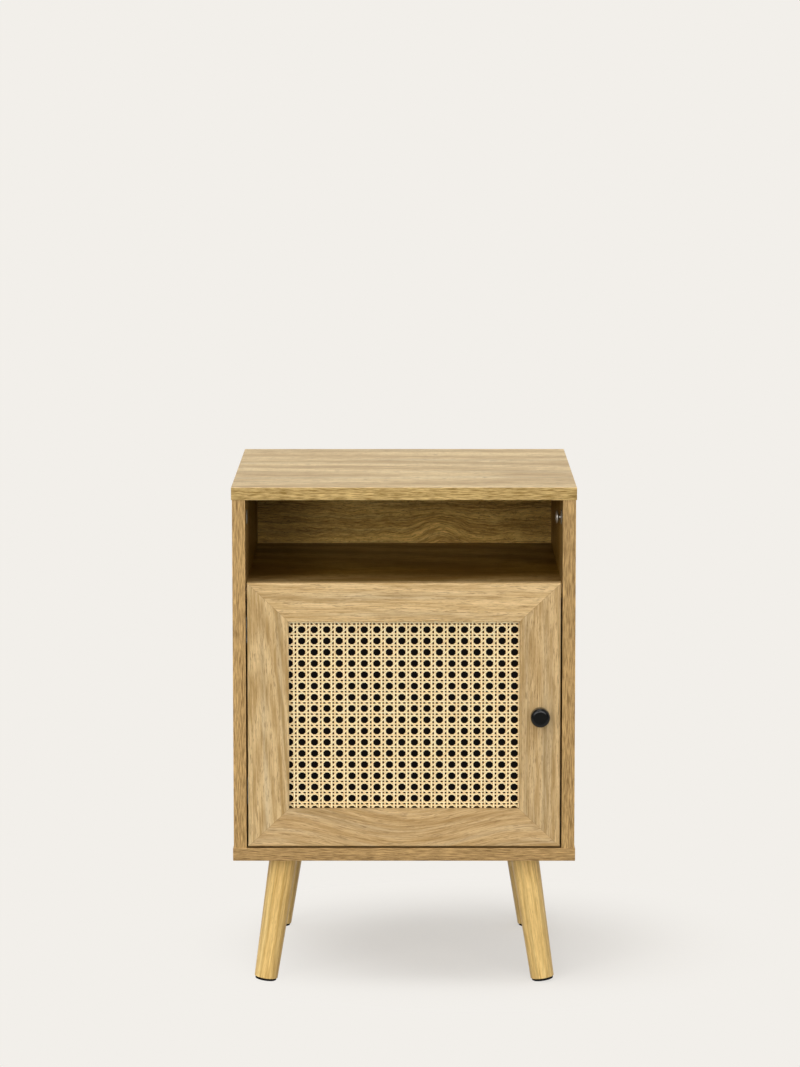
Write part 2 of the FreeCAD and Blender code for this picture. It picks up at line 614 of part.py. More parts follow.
def mitre_rods(radius, length):
    """Rods square to the four mitres, through their middles."""
    rods = []
    across = f"({length}) / 2 * sin({MITRE})"
    upwards = f"({length}) / 2 * cos({MITRE})"
    for x_sign in (-1, 1):
        for z, z_sign in (("door_low + rail_width / 2", -1), ("door_top - rail_width / 2", 1)):
            turn = x_sign * z_sign
            x = f"{x_sign} * (door_half - stile_width / 2) + {turn} * {across}"
            piece = rod(x, "face + rebate_front", f"{z} - {upwards}", radius, length)
            rods.append(lean(piece, Vector(0, 1, 0), f"{-turn} * {MITRE} / 1 deg"))
    return rods


for label, (corners, x, z, on_outside) in MEMBERS.items():
    member = frame_member(corners, x, z, on_outside)
    rebate = box(f"-({rebate_half})", "face + rebate_front", "open_low - rebate_width",
                 f"2 * ({rebate_half})", "door_thick", "open_top - open_low + 2 * rebate_width")
    dowel_cuts = mitre_rods("mitre_dowel_radius + dowel_play", "mitre_dowel_length + 2 * fit")
    keep(label, cut(member, rebate, *dowel_cuts, *OWN_CUTS[label]))
keep("mitre_dowels", *mitre_rods("mitre_dowel_radius", "mitre_dowel_length"))

# Dark board behind the cane, and the strips that hold both in the rebate
ACROSS = (f"-({rebate_half}) + fit", f"2 * ({rebate_half} - fit)")
keep("cane_backing", box(ACROSS[0], "backing_front", "open_low - strip_width", ACROSS[1], "backing_thick",
                         "open_top - open_low + 2 * strip_width"))
for label, z in (("bottom_cane_strip", "open_low - strip_width"), ("top_cane_strip", "open_top")):
    keep(label, box(ACROSS[0], "strip_front", z, ACROSS[1], "strip_thick", "strip_width"))
for label, x in (("left_cane_strip", "-open_half - strip_width"), ("right_cane_strip", "open_half")):
    keep(label, box(x, "strip_front", "open_low", "strip_width", "strip_thick", "open_top - open_low"))

# Knob, turned about its own axis, and its screw
knob = doc.addObject("PartDesign::Body", "knob")
profile = outline(knob, "XY_Plane", (
    (zero, zero), ("knob_neck_radius", zero), ("knob_neck_radius", "knob_neck"),
    ("knob_radius", "knob_neck"), ("knob_radius", "knob_out"), (zero, "knob_out")))
turned = knob.newObject("PartDesign::Revolution", "turned")
turned.Profile = profile
turned.ReferenceAxis = (profile, ["V_Axis"])
turned.Angle = 360


def knob_rim(edge):
    at_front = abs(edge.BoundBox.YMin - size("knob_out")) < SAME
    return at_front and abs(edge.BoundBox.YLength) < SAME


round_edges(knob, turned, knob_rim, "knob_round")
place(knob, "knob_x", "face", "knob_z", Rotation(Vector(0, 0, 1), 180))
knob_bore = rod("knob_x", "face + cut_over", "knob_z", knob_screw_hole, "knob_bore + cut_over + fit", "-Y")
keep("door_knob", cut(knob, knob_bore))
knob_shank = rod("knob_x", "door_back", "knob_z", "knob_screw_radius", "door_thick + knob_bore", "-Y")
knob_head = rod("knob_x", "door_back", "knob_z", "knob_screw_head", "knob_screw_head_thick", "+Y")
keep("knob_screw", fuse(knob_shank, knob_head))

# Cane webbing: one face with a round eye in each gap of the weave, given its thickness
door_half = size("width") / 2 - size("lip") - size("board") - size("door_gap")
open_half = door_half - size("stile_width")
top_level = size("leg_height") + size("carcass_height")
open_top = top_level - size("door_drop") - size("rail_width")
open_low = size("leg_height") + size("board") + size("door_gap") + size("rail_width")
sheet_half = open_half + size("rebate_width") - size("fit")
sheet_low = open_low - size("rebate_width") + size("fit")
sheet_top = open_top + size("rebate_width") - size("fit")
cane_y = (size("knob_out") - size("lip") - size("depth")) / 2 + size("lip") + size("rebate_front")
eye_radius = size("cane_eye") / 2


def eye_rows(middle, pitch, low, high):
    """Middles of the eyes that lie whole between two edges, a pitch apart."""
    reach = int((high - low) / pitch) + 1
    spots = (middle + step * pitch for step in range(-reach, reach + 1))
    return [spot for spot in spots if low <= spot - eye_radius and spot + eye_radius <= high]


columns = eye_rows(size("cane_shift_x"), size("cane_pitch_x"), -open_half, open_half)
middle_z = (open_top + open_low) / 2 + size("cane_shift_z") + size("cane_pitch_z") / 2
rows = eye_rows(middle_z, size("cane_pitch_z"), open_low, open_top)
rim = Part.makePolygon([
    Vector(-sheet_half, cane_y, sheet_low), Vector(sheet_half, cane_y, sheet_low),
    Vector(sheet_half, cane_y, sheet_top), Vector(-sheet_half, cane_y, sheet_top),
    Vector(-sheet_half, cane_y, sheet_low)])
net = Part.Face(rim)
eyes = [Part.Face(Part.Wire(Part.makeCircle(eye_radius, Vector(x, cane_y, z), Vector(0, 1, 0))))
        for x in columns for z in rows]
net = net.cut(Part.makeCompound(eyes))
cane = doc.addObject("Part::Feature", "cane")
cane.Shape = net.Faces[0].extrude(Vector(0, size("cane_thick"), 0))
keep("cane_panel", cane)

# Checks, then one file for each node
doc.recompute()
for obj in doc.Objects:
    if "Invalid" in obj.State or "Error" in obj.State:
        raise RuntimeError(f"{obj.Name} ({obj.Label}) failed: {obj.State}")
os.makedirs("parts", exist_ok=True)
for node in NODES:
    shape = node.Shape
    if shape.isNull() or not shape.isValid() or not shape.Solids:
        raise RuntimeError(f"{node.Label} has no valid solid")
for node in NODES:
    node.Shape.exportStep(f"parts/{node.Label}.step")
print(f"{len(NODES)} nodes, {len(columns) * len(rows)} eyes in the cane")
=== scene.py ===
"""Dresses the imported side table: oak-look foil, a woven cane door, turned legs and small metal fittings.

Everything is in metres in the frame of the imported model: +Z up, the front faces -Y.
"""
import math

import bmesh
import bpy
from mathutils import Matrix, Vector


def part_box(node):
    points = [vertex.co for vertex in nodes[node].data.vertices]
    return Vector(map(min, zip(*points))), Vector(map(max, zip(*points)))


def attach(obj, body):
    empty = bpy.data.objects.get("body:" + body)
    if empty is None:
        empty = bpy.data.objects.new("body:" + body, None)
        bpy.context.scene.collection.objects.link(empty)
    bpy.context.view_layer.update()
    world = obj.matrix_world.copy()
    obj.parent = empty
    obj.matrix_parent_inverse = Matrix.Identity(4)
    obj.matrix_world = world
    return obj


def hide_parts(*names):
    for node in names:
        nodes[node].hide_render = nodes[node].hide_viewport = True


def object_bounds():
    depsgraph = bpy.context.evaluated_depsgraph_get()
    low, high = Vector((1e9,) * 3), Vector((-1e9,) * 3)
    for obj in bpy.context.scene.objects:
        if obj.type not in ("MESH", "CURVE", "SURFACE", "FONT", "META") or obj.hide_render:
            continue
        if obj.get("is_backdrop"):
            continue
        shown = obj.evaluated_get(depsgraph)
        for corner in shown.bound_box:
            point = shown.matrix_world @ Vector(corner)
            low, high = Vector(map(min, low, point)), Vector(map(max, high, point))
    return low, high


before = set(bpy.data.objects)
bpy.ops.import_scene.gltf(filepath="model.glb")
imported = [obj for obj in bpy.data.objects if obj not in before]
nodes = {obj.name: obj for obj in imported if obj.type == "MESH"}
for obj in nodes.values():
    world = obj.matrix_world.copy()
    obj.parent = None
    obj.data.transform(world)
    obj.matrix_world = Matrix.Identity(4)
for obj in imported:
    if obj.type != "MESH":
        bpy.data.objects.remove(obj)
cad_low, cad_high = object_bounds()
MM = 0.001
TURN = 2 * math.pi

# The curve between a display value and the light it stands for
DISPLAY_FULL = 255
CURVE_KNEE = 0.04045
CURVE_SLOPE = 12.92
CURVE_SHIFT = 0.055
CURVE_POWER = 2.4

# Sockets of a Mix node, for plain numbers and for colours
MIX_FACTOR = 0
MIX_NUMBERS = (2, 3)
MIX_COLOURS = (6, 7)
MIX_COLOUR_RESULT = 2


def tint(red, green, blue):
    """A colour given in display values from 0 to 255, as the linear one that shaders use."""
    def linear(value):
        share = value / DISPLAY_FULL
        if share <= CURVE_KNEE:
            return share / CURVE_SLOPE
        return ((share + CURVE_SHIFT) / (1.0 + CURVE_SHIFT)) ** CURVE_POWER
    return linear(red), linear(green), linear(blue), 1.0


def toned(colour, factor, cool=1.0):
    """A colour made lighter or darker, and cooler or warmer by its blue."""
    red, green, blue = (value * factor for value in colour[:3])
    return red, green * (1.0 + cool) / 2, blue * cool, 1.0


class Wiring:
    """Short calls that add nodes to a tree and join them."""

    def __init__(self, tree):
        self.tree = tree

    def feed(self, socket, value):
        """Join a socket to another node's output, or give it a plain value."""
        if isinstance(value, bpy.types.NodeSocket):
            self.tree.links.new(value, socket)
        else:
            socket.default_value = value

    def add(self, kind, inputs=None, **settings):
        node = self.tree.nodes.new(kind)
        for name, value in settings.items():
            setattr(node, name, value)
        for key, value in (inputs or {}).items():
            self.feed(node.inputs[key], value)
        return node

    def math(self, operation, *values):
        return self.add("ShaderNodeMath", dict(enumerate(values)), operation=operation).outputs[0]

    def vector(self, operation, *values):
        node = self.add("ShaderNodeVectorMath", dict(enumerate(values)), operation=operation)
        return node.outputs["Value" if operation in ("LENGTH", "DOT_PRODUCT") else "Vector"]

    def scaled(self, vector, factor):
        node = self.add("ShaderNodeVectorMath", {"Vector": vector, "Scale": factor}, operation="SCALE")
        return node.outputs["Vector"]

    def split(self, vector):
        return self.add("ShaderNodeSeparateXYZ", {0: vector}).outputs

    def combine(self, x, y, z):
        return self.add("ShaderNodeCombineXYZ", {0: x, 1: y, 2: z}).outputs[0]

    def noise(self, vector, detail=2.0, roughness=0.5, scale=1.0):
        inputs = {"Vector": vector, "Scale": scale, "Detail": detail, "Roughness": roughness}
        return self.add("ShaderNodeTexNoise", inputs).outputs["Fac"]

    def fade(self, value, low, high, start=0.0, end=1.0):
        """A smooth step from start to end as a value goes from low to high."""
        inputs = {"Value": value, "From Min": low, "From Max": high, "To Min": start, "To Max": end}
        return self.add("ShaderNodeMapRange", inputs, interpolation_type="SMOOTHSTEP").outputs["Result"]

    def mix(self, factor, *values):
        """Two numbers mixed by a factor."""
        inputs = {MIX_FACTOR: factor, **dict(zip(MIX_NUMBERS, values))}
        return self.add("ShaderNodeMix", inputs).outputs[0]

    def blend(self, factor, first, second, how="MIX"):
        """Two colours mixed by a factor."""
        inputs = {MIX_FACTOR: factor, **dict(zip(MIX_COLOURS, (first, second)))}
        node = self.add("ShaderNodeMix", inputs, data_type="RGBA", blend_type=how)
        return node.outputs[MIX_COLOUR_RESULT]


def sockets(tree, in_out, **kinds):
    """Give a node group its named inputs or outputs, each of its kind."""
    for name, kind in kinds.items():
        tree.interface.new_socket(name, in_out=in_out, socket_type="NodeSocket" + kind)


def finish_of(name):
    """A new material with only its surface shader, and the wiring and shader to build on."""
    material = bpy.data.materials.new(name)
    material.use_nodes = True
    wiring = Wiring(material.node_tree)
    shader = material.node_tree.nodes["Principled BSDF"]
    return material, wiring, shader


def object_point(wiring):
    """Object coordinates, in which a pattern stays with its piece as the piece moves."""
    return wiring.add("ShaderNodeTexCoord").outputs["Object"]


def bumped(wiring, shader, height, depth):
    """Tilt the shader's normal by a height, which is given in shares of a depth."""
    bump = wiring.add("ShaderNodeBump", {"Height": height, "Distance": depth, "Strength": 1.0})
    wiring.feed(shader.inputs["Normal"], bump.outputs["Normal"])


def dress(label, material):
    """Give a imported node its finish."""
    nodes[label].material_slots[0].material = material


# Layers of the oak figure: scale along and across the grain, octaves of the noise and their roughness
OAK_LAYERS = {
    "sway": (3.2, 12.0, 2, 0.5),
    "rise": (1.7, 3.0, 1, 0.5),
    "ripple": (14.0, 90.0, 3, 0.6),
    "broad": (1.8, 62.0, 4, 0.55),
    "streak": (10.0, 420.0, 4, 0.7),
    "grit": (32.0, 640.0, 3, 0.6),
    "fleck": (85.0, 820.0, 2, 0.6),
    "pore": (190.0, 1900.0, 1, 0.5),
    "grey": (2.4, 85.0, 3, 0.5),
}
# Where a layer's noise starts to show and where it is full
EVEN_SPAN = (0.3, 0.7)
FLECK_SPAN = (0.53, 0.66)
PORE_SPAN = (0.55, 0.68)
GREY_SPAN = (0.45, 0.75)
# How far each layer bends the rings, and its share in the colour, the height and the roughness
MIDDLE = 0.5
SWAY_REACH = 0.024
RISE_REACH = 0.03
RIPPLE_TURNS = 0.8
BROAD_SHARE = 0.5
STREAK_SHARE = 0.4
GRIT_SHARE = 0.6
FLECK_SHARE = 0.4
FLECK_IN_RINGS = 0.14
PORE_SHARE = 0.2
GREY_SHARE = 0.55
GREY_SHIFT = (5.0, 5.0, 5.0)
GREY_CAST = (0.79, 0.9, 1.14, 1.0)
SPOT_HEIGHT = -1.6
STREAK_HEIGHT = 0.5
SPOT_ROUGH = 0.2
TONE_ROUGH = -0.1


def oak_figure():
    """Oak drawn along X: growth rings round a tilted pith, broad bands, fibre streaks, flecks and pores."""
    tree = bpy.data.node_groups.new("oak_figure", "ShaderNodeTree")
    sockets(tree, "INPUT", Point="Vector", Seed="Vector", Light="Color", Dark="Color", Pore="Color",
            Ring="Float", Arch="Float", Pith="Float", Flecks="Float", Figure="Float", Sheen="Float")
    sockets(tree, "OUTPUT", Colour="Color", Height="Float", Roughness="Float")
    w = Wiring(tree)
    given = w.add("NodeGroupInput").outputs
    point = given["Point"]
    seeded = w.vector("ADD", point, given["Seed"])

    def layer(name, shift=None):
        along, across, octaves, rough = OAK_LAYERS[name]
        place = w.vector("MULTIPLY", seeded, (along, across, across))
        if shift:
            place = w.vector("ADD", place, shift)
        return w.noise(place, octaves, rough)

    def centred(value):
        return w.math("SUBTRACT", value, MIDDLE)

    x, y, z = w.split(point)
    sway = w.math("MULTIPLY", centred(layer("sway")), SWAY_REACH)
    rise = w.math("MULTIPLY", centred(layer("rise")), RISE_REACH)
    tilted = w.math("MULTIPLY_ADD", x, given["Arch"], z)
    depth = w.math("ADD", tilted, w.math("ADD", rise, given["Pith"]))
    radius = w.vector("LENGTH", w.combine(w.math("ADD", y, sway), depth, 0.0))
    ripple = w.math("MULTIPLY", centred(layer("ripple")), RIPPLE_TURNS)
    ring_turn = w.math("ADD", w.math("DIVIDE", radius, given["Ring"]), ripple)
    ring = w.math("SINE", w.math("MULTIPLY", ring_turn, TURN))

    broad, streak, grit = (centred(w.fade(layer(name), *EVEN_SPAN)) for name in ("broad", "streak", "grit"))
    fleck = w.fade(layer("fleck"), *FLECK_SPAN)
    pore = w.fade(layer("pore"), *PORE_SPAN)
    grey = w.fade(layer("grey", GREY_SHIFT), *GREY_SPAN)

    figured = w.math("MULTIPLY", ring, given["Figure"])
    tone = w.math("ADD", figured, w.math("MULTIPLY_ADD", broad, BROAD_SHARE, MIDDLE))
    tone = w.math("MULTIPLY_ADD", streak, STREAK_SHARE, w.math("MULTIPLY_ADD", grit, GRIT_SHARE, tone))
    spots = w.math("MULTIPLY", fleck, w.math("MULTIPLY_ADD", ring, FLECK_IN_RINGS, FLECK_SHARE))
    spots = w.math("MULTIPLY", w.math("MULTIPLY_ADD", pore, PORE_SHARE, spots), given["Flecks"])
    body = w.blend(tone, given["Dark"], given["Light"])
    greyed = w.blend(1.0, body, GREY_CAST, "MULTIPLY")
    body = w.blend(w.math("MULTIPLY", grey, GREY_SHARE), body, greyed)
    colour = w.blend(spots, body, given["Pore"])
    height = w.math("MULTIPLY_ADD", spots, SPOT_HEIGHT, w.math("MULTIPLY", streak, STREAK_HEIGHT))
    roughness = w.math("MULTIPLY_ADD", spots, SPOT_ROUGH, given["Sheen"])
    roughness = w.math("MULTIPLY_ADD", tone, TONE_ROUGH, roughness)
    made = w.add("NodeGroupOutput").inputs
    for name, value in (("Colour", colour), ("Height", height), ("Roughness", roughness)):
        w.feed(made[name], value)
    return tree


OAK = oak_figure()
# Depth of the wood's bump, its gloss and roughness, and how thin a face's mask is
WOOD_BUMP = 0.12 * MM
WOOD_GLOSS = 0.26
BACK_GLOSS = 0.08
SATIN = 0.44
SKIN = 0.1 * MM
# A painted highlight along the boards' edges, where a rounded edge would catch the light, and the flecked
# banding on the boards' front edges and ends
EDGE_HIGHLIGHT_WIDTH = 1.1 * MM
EDGE_HIGHLIGHT_CAST = (1.17, 1.17, 1.19, 1.0)
BAND_GRAIN = (62.0, 950.0, 1.0)
BAND_SLOW = (9.0, 160.0, 1.0)
BAND_SPAN = (0.36, 0.64)
BAND_ROUGH = 0.65
BAND_FINE_SHARE = 0.75
BAND_LIGHT = 1.12
BAND_DARK = 0.6
BAND_COOL = 0.9
BAND_SKIN = 0.3 * MM


def oak_point(w, along, pith, lean=0.0):
    """Object coordinates turned so that X runs with the grain, from the place of the tree's pith."""
    point = object_point(w)
    if lean:
        point = w.add("ShaderNodeMapping", {"Vector": point, "Rotation": (0.0, lean, 0.0)}).outputs[0]
    if along == "Z":
        x, y, z = w.split(point)
        point = w.combine(z, x, y)
    return w.vector("SUBTRACT", point, pith)


def painted_edge_highlight(w, low, high):
    """One along the edges of a box, where a highlight is painted, falling to nought within its width."""
    point = object_point(w)
    room = w.vector("MINIMUM", w.vector("SUBTRACT", point, low), w.vector("SUBTRACT", high, point))
    x, y, z = w.split(room)
    larger = w.math("MINIMUM", w.math("MAXIMUM", x, y), z)
    second = w.math("MAXIMUM", w.math("MINIMUM", x, y), larger)
    return w.fade(second, 0.0, EDGE_HIGHLIGHT_WIDTH, 1.0, 0.0)


def edge_band(w, along, box, light, dark):
    """Where the banding glued round a board's front and ends shows, and its short flecked grain."""
    low, high = box
    x, y, z = w.split(object_point(w))
    round_edge = w.math("ADD", x, y)
    depth = w.math("SUBTRACT", y, low.y)
    place = w.combine(z, round_edge, 0.0)
    if along == "X":
        place = w.combine(round_edge, z, 0.0)
        ends = w.math("MINIMUM", w.math("SUBTRACT", x, low.x), w.math("SUBTRACT", high.x, x))
        depth = w.math("MINIMUM", depth, ends)
    fine = w.noise(w.vector("MULTIPLY", place, BAND_GRAIN), detail=3, roughness=BAND_ROUGH)
    slow = w.fade(w.noise(w.vector("MULTIPLY", place, BAND_SLOW)), *EVEN_SPAN)
    slow = w.math("MULTIPLY", slow, 1.0 - BAND_FINE_SHARE)
    tone = w.math("MULTIPLY_ADD", w.fade(fine, *BAND_SPAN), BAND_FINE_SHARE, slow)
    colour = w.blend(tone, toned(dark, BAND_DARK, BAND_COOL), toned(light, BAND_LIGHT, BAND_COOL))
    return w.fade(depth, BAND_SKIN, 2 * BAND_SKIN, 1.0, 0.0), colour


def sagged(w, point, along, middle, reach, drop):
    """Grain that dips in the middle of a member, across the face that shows."""
    x, y, z = w.split(point)
    dip = w.fade(w.math("ABSOLUTE", w.math("SUBTRACT", x, middle)), 0.0, reach, drop, 0.0)
    if along == "Z":
        return w.combine(x, w.math("ADD", y, dip), z)
    return w.combine(x, y, w.math("ADD", z, dip))


def oak_grain(w, **values):
    """The oak figure with these inputs."""
    grain = w.add("ShaderNodeGroup", node_tree=OAK)
    for key, value in values.items():
        w.feed(grain.inputs[key], value)
    return grain.outputs


def oak(name, tones, along, pith, seed, ring=0.011, arch=0.05, deep=0.03, flecks=1.0, figure=0.2, lean=0.0,
        sag=None, wide=1.0, gloss=WOOD_GLOSS, shade=None, box=None, banded=False):
    """Oak with its grain along an axis of the table, its bands widened; a shade's mask and colour tint it,
    for painted shade, a painted sheen or a dark mitre line.

    A box's edges get a painted highlight, standing for the light that rounded edges would catch.
    """
    material, w, shader = finish_of(name)
    light, dark, pore = tones
    point = w.vector("MULTIPLY", oak_point(w, along, pith, lean), (1.0, 1.0 / wide, 1.0))
    if sag:
        point = sagged(w, point, along, *sag)
    grain = oak_grain(w, Point=point, Seed=(seed, 0.0, 0.0), Light=light, Dark=dark, Pore=pore, Ring=ring,
                      Arch=arch, Pith=deep, Flecks=flecks, Figure=figure, Sheen=SATIN)
    colour = grain["Colour"]
    if banded:
        shown, band = edge_band(w, along, box, light, dark)
        colour = w.blend(shown, colour, band)
    if shade:
        mask, cast, how = shade
        colour = w.blend(mask(w), colour, cast, how)
    if box:
        # Painted highlight along the edges of the box
        colour = w.blend(painted_edge_highlight(w, *box), colour, EDGE_HIGHLIGHT_CAST, "MULTIPLY")
    w.feed(shader.inputs["Base Color"], colour)
    w.feed(shader.inputs["Roughness"], grain["Roughness"])
    shader.inputs["Specular IOR Level"].default_value = gloss
    bumped(w, shader, grain["Height"], WOOD_BUMP)
    return material


# Light, dark and pore colour of each wood
FOIL = (tint(208, 174, 115), tint(160, 124, 64), tint(112, 80, 34))
DOOR_FOIL = (tint(227, 196, 143), tint(179, 145, 89), tint(126, 98, 53))
LEG_WOOD = (tint(246, 210, 136), tint(198, 158, 87), tint(158, 119, 56))
BACK_FOIL = (tint(232, 188, 100), tint(140, 101, 37), tint(70, 44, 10))
PALE_LIGHT = tint(226, 205, 164)
PALE_DARK = tint(201, 174, 126)
PALE_PORE = 0.8


def wood_tones(colours, tone, cool=1.0):
    """A wood's three colours, all made lighter or darker and cooler or warmer."""
    return [toned(colour, tone, cool) for colour in colours]


# Foil boards: tone and coolness, and the figure of their oak; the top is quite matt
# The tones are partly the foil's own and partly painted light: the bottom and right side are darker as
# painted shade, the shelf lighter for its lit front, the top cooler as a painted sheen
BOARDS = {
    "top_panel": (0.955, 1.22, dict(
        along="X", pith=(0.05, -0.08, 0.596), seed=0.3, ring=0.022, arch=0.07, figure=0.26, wide=2.6,
        gloss=0.0)),
    "bottom_panel": (0.77, 0.96, dict(along="X", pith=(0.0, -0.1, 0.15), seed=2.3)),
    "left_side_panel": (0.89, 0.98, dict(along="Z", pith=(0.3, -0.17, -0.05), seed=4.1, arch=0.08)),
    "right_side_panel": (0.82, 0.98, dict(along="Z", pith=(0.4, 0.17, 0.02), seed=6.7, arch=0.08)),
    "fixed_shelf": (1.2, 1.0, dict(
        along="X", pith=(0.0, -0.05, 0.46), seed=8.2, ring=0.02, arch=0.1, figure=0.4, wide=2.6)),
}
inner_low, inner_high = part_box("fixed_shelf")
# Where the painted shade inside the cabinet starts and fades in, and its strength behind the door
INSIDE_EDGE = 0.5 * MM
LIT_FRONT = inner_low.y + 15.0 * MM
LIT_END = inner_low.y + 105.0 * MM
SHADE_BEHIND_DOOR = 0.5
# A pale painted sheen added to the top's upper face
TOP_PAINTED_SHEEN = (0.158, 0.147, 0.155, 1.0)


def painted_niche_shade(w):
    """Painted shade on the faces that line the cabinet: nought at the niche's front, one deep in it, half
    below it behind the door.
    """
    x, y, z = w.split(object_point(w))
    lining = w.fade(w.math("ABSOLUTE", x), inner_high.x + SKIN, inner_high.x + INSIDE_EDGE, 1.0, 0.0)
    niche = w.fade(z, inner_low.z, inner_high.z - MM)
    deep = w.mix(niche, SHADE_BEHIND_DOOR, w.fade(y, LIT_FRONT, LIT_END))
    return w.math("MULTIPLY", lining, deep)


def painted_top_sheen(w):
    """One on the top's upper face, which gets a pale painted sheen."""
    return w.fade(w.split(object_point(w))[2], cad_high[2] - INSIDE_EDGE, cad_high[2] - SKIN)


# Boards with painted shade on their inner faces, or a painted sheen on the top's upper face
PAINTED_SHADE_AND_SHEEN = {
    "left_side_panel": (painted_niche_shade, (0.46, 0.36, 0.055, 1.0), "MULTIPLY"),
    "right_side_panel": (painted_niche_shade, (0.8, 0.67, 0.26, 1.0), "MULTIPLY"),
    "fixed_shelf": (painted_niche_shade, (0.325, 0.242, 0.045, 1.0), "MULTIPLY"),
    "top_panel": (painted_top_sheen, TOP_PAINTED_SHEEN, "ADD"),
}
for label, (tone, cool, figure) in BOARDS.items():
    dress(label, oak("foil_" + label, wood_tones(FOIL, tone, cool), **figure, shade=PAINTED_SHADE_AND_SHEEN.get(label),
                     box=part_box(label), banded=True))

# Door members: foil wrapped round each, with a fine dark line along the mitres
door_low, stile_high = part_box("left_door_stile")
door_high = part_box("right_door_stile")[1]
rail_low, rail_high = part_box("bottom_door_rail")
DOOR_HALF = door_high.x
DOOR_MIDDLE = (door_low.z + stile_high.z) / 2
DOOR_TALL = (stile_high.z - door_low.z) / 2
STILE = stile_high.x - door_low.x
RAIL = rail_high.z - rail_low.z
SEAM_HALF = 0.45 * MM
SEAM_CAST = (0.76, 0.72, 0.66, 1.0)


def mitre_seam(w):
    """One on the door's mitre lines, falling to nought beside them."""
    x, _, z = w.split(object_point(w))
    inward = w.math("MULTIPLY_ADD", w.math("ABSOLUTE", x), -1.0, DOOR_HALF)
    level = w.math("ABSOLUTE", w.math("SUBTRACT", z, DOOR_MIDDLE))
    upward = w.math("MULTIPLY_ADD", level, -1.0, DOOR_TALL)
    length = math.hypot(STILE, RAIL)
    inward = w.math("MULTIPLY", inward, RAIL / length)
    across = w.math("SUBTRACT", inward, w.math("MULTIPLY", upward, STILE / length))
    return w.fade(w.math("ABSOLUTE", across), 0.0, SEAM_HALF, 1.0, 0.0)


# Tone and coolness of each member, and the figure of its oak; the lower and right-hand members are partly
# painted shade, darker and warmer
MEMBERS = {
    "left_door_stile": (0.87, 0.98, dict(
        along="Z", pith=(0.26, -0.158, -0.19), seed=10.4, ring=0.0085, arch=0.1, deep=0.012, figure=0.3,
        lean=0.03)),
    "right_door_stile": (0.81, 0.94, dict(
        along="Z", pith=(0.4, 0.148, -0.19), seed=12.9, ring=0.009, arch=0.1, deep=0.015, figure=0.22)),
    "top_door_rail": (0.94, 0.97, dict(
        along="X", pith=(0.1, -0.19, 0.44), seed=14.2, arch=0.08, figure=0.1)),
    "bottom_door_rail": (0.83, 0.9, dict(
        along="X", pith=(-0.06, -0.19, 0.2), seed=16.6, arch=0.1, deep=0.02, figure=0.13,
        sag=(0.06, 0.15, 0.026))),
}
for label, (tone, cool, figure) in MEMBERS.items():
    dress(label, oak("foil_" + label, wood_tones(DOOR_FOIL, tone, cool), **figure,
                     shade=(mitre_seam, SEAM_CAST, "MULTIPLY"), box=(door_low, door_high)))

# Back panel: foil towards the cabinet with a knot in it and a painted shadow at its left end, bare fibreboard
# at the rear
BACK_FINE = (2.7, 1.0, 1.9)
BACK_SEED = 18.3
BACK_WAVER = 0.011
BACK_DRIFT = (24.0, 0.0, 34.0)
BACK_PAINTED_SHADOW = (0.56, 0.53, 0.42, 1.0)
BACK_SHADOW_SPAN = (-0.15, -0.075)
KNOT_PLACE = (0.045, 0.2, 0.497)
KNOT_WIDE = 0.045
KNOT_TALL = 0.04
KNOT_RISE = 0.014
KNOT_CAST = (1.5, 1.5, 1.6, 1.0)
FAN_GRAIN = (60.0, 1.0, 640.0)
FAN_SPAN = (0.47, 0.68)
REAR_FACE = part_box("back_panel")[1].y
REAR_SKIN = (REAR_FACE - 0.4 * MM, REAR_FACE - 0.3 * MM)
REAR_ROUGH = 0.35
BOARD_GRAIN = (260.0, 260.0, 260.0)
BOARD_DARK = tint(139, 104, 66)
BOARD_LIGHT = tint(172, 134, 90)


def knot(w):
    """The grain bent up round a knot of the back panel's foil, and how near to it a point is."""
    place = w.vector("SUBTRACT", object_point(w), KNOT_PLACE)
    x, y, z = w.split(place)
    beside = w.fade(w.math("ABSOLUTE", x), 0.0, KNOT_WIDE, 1.0, 0.0)
    level = w.fade(w.math("ABSOLUTE", z), 0.0, KNOT_TALL, 1.0, 0.0)
    near = w.math("MULTIPLY", beside, level)
    drift = w.noise(w.vector("MULTIPLY", place, BACK_DRIFT))
    bent = w.math("MULTIPLY_ADD", near, -KNOT_RISE, w.math("MULTIPLY_ADD", drift, BACK_WAVER, z))
    return w.combine(x, y, bent), near


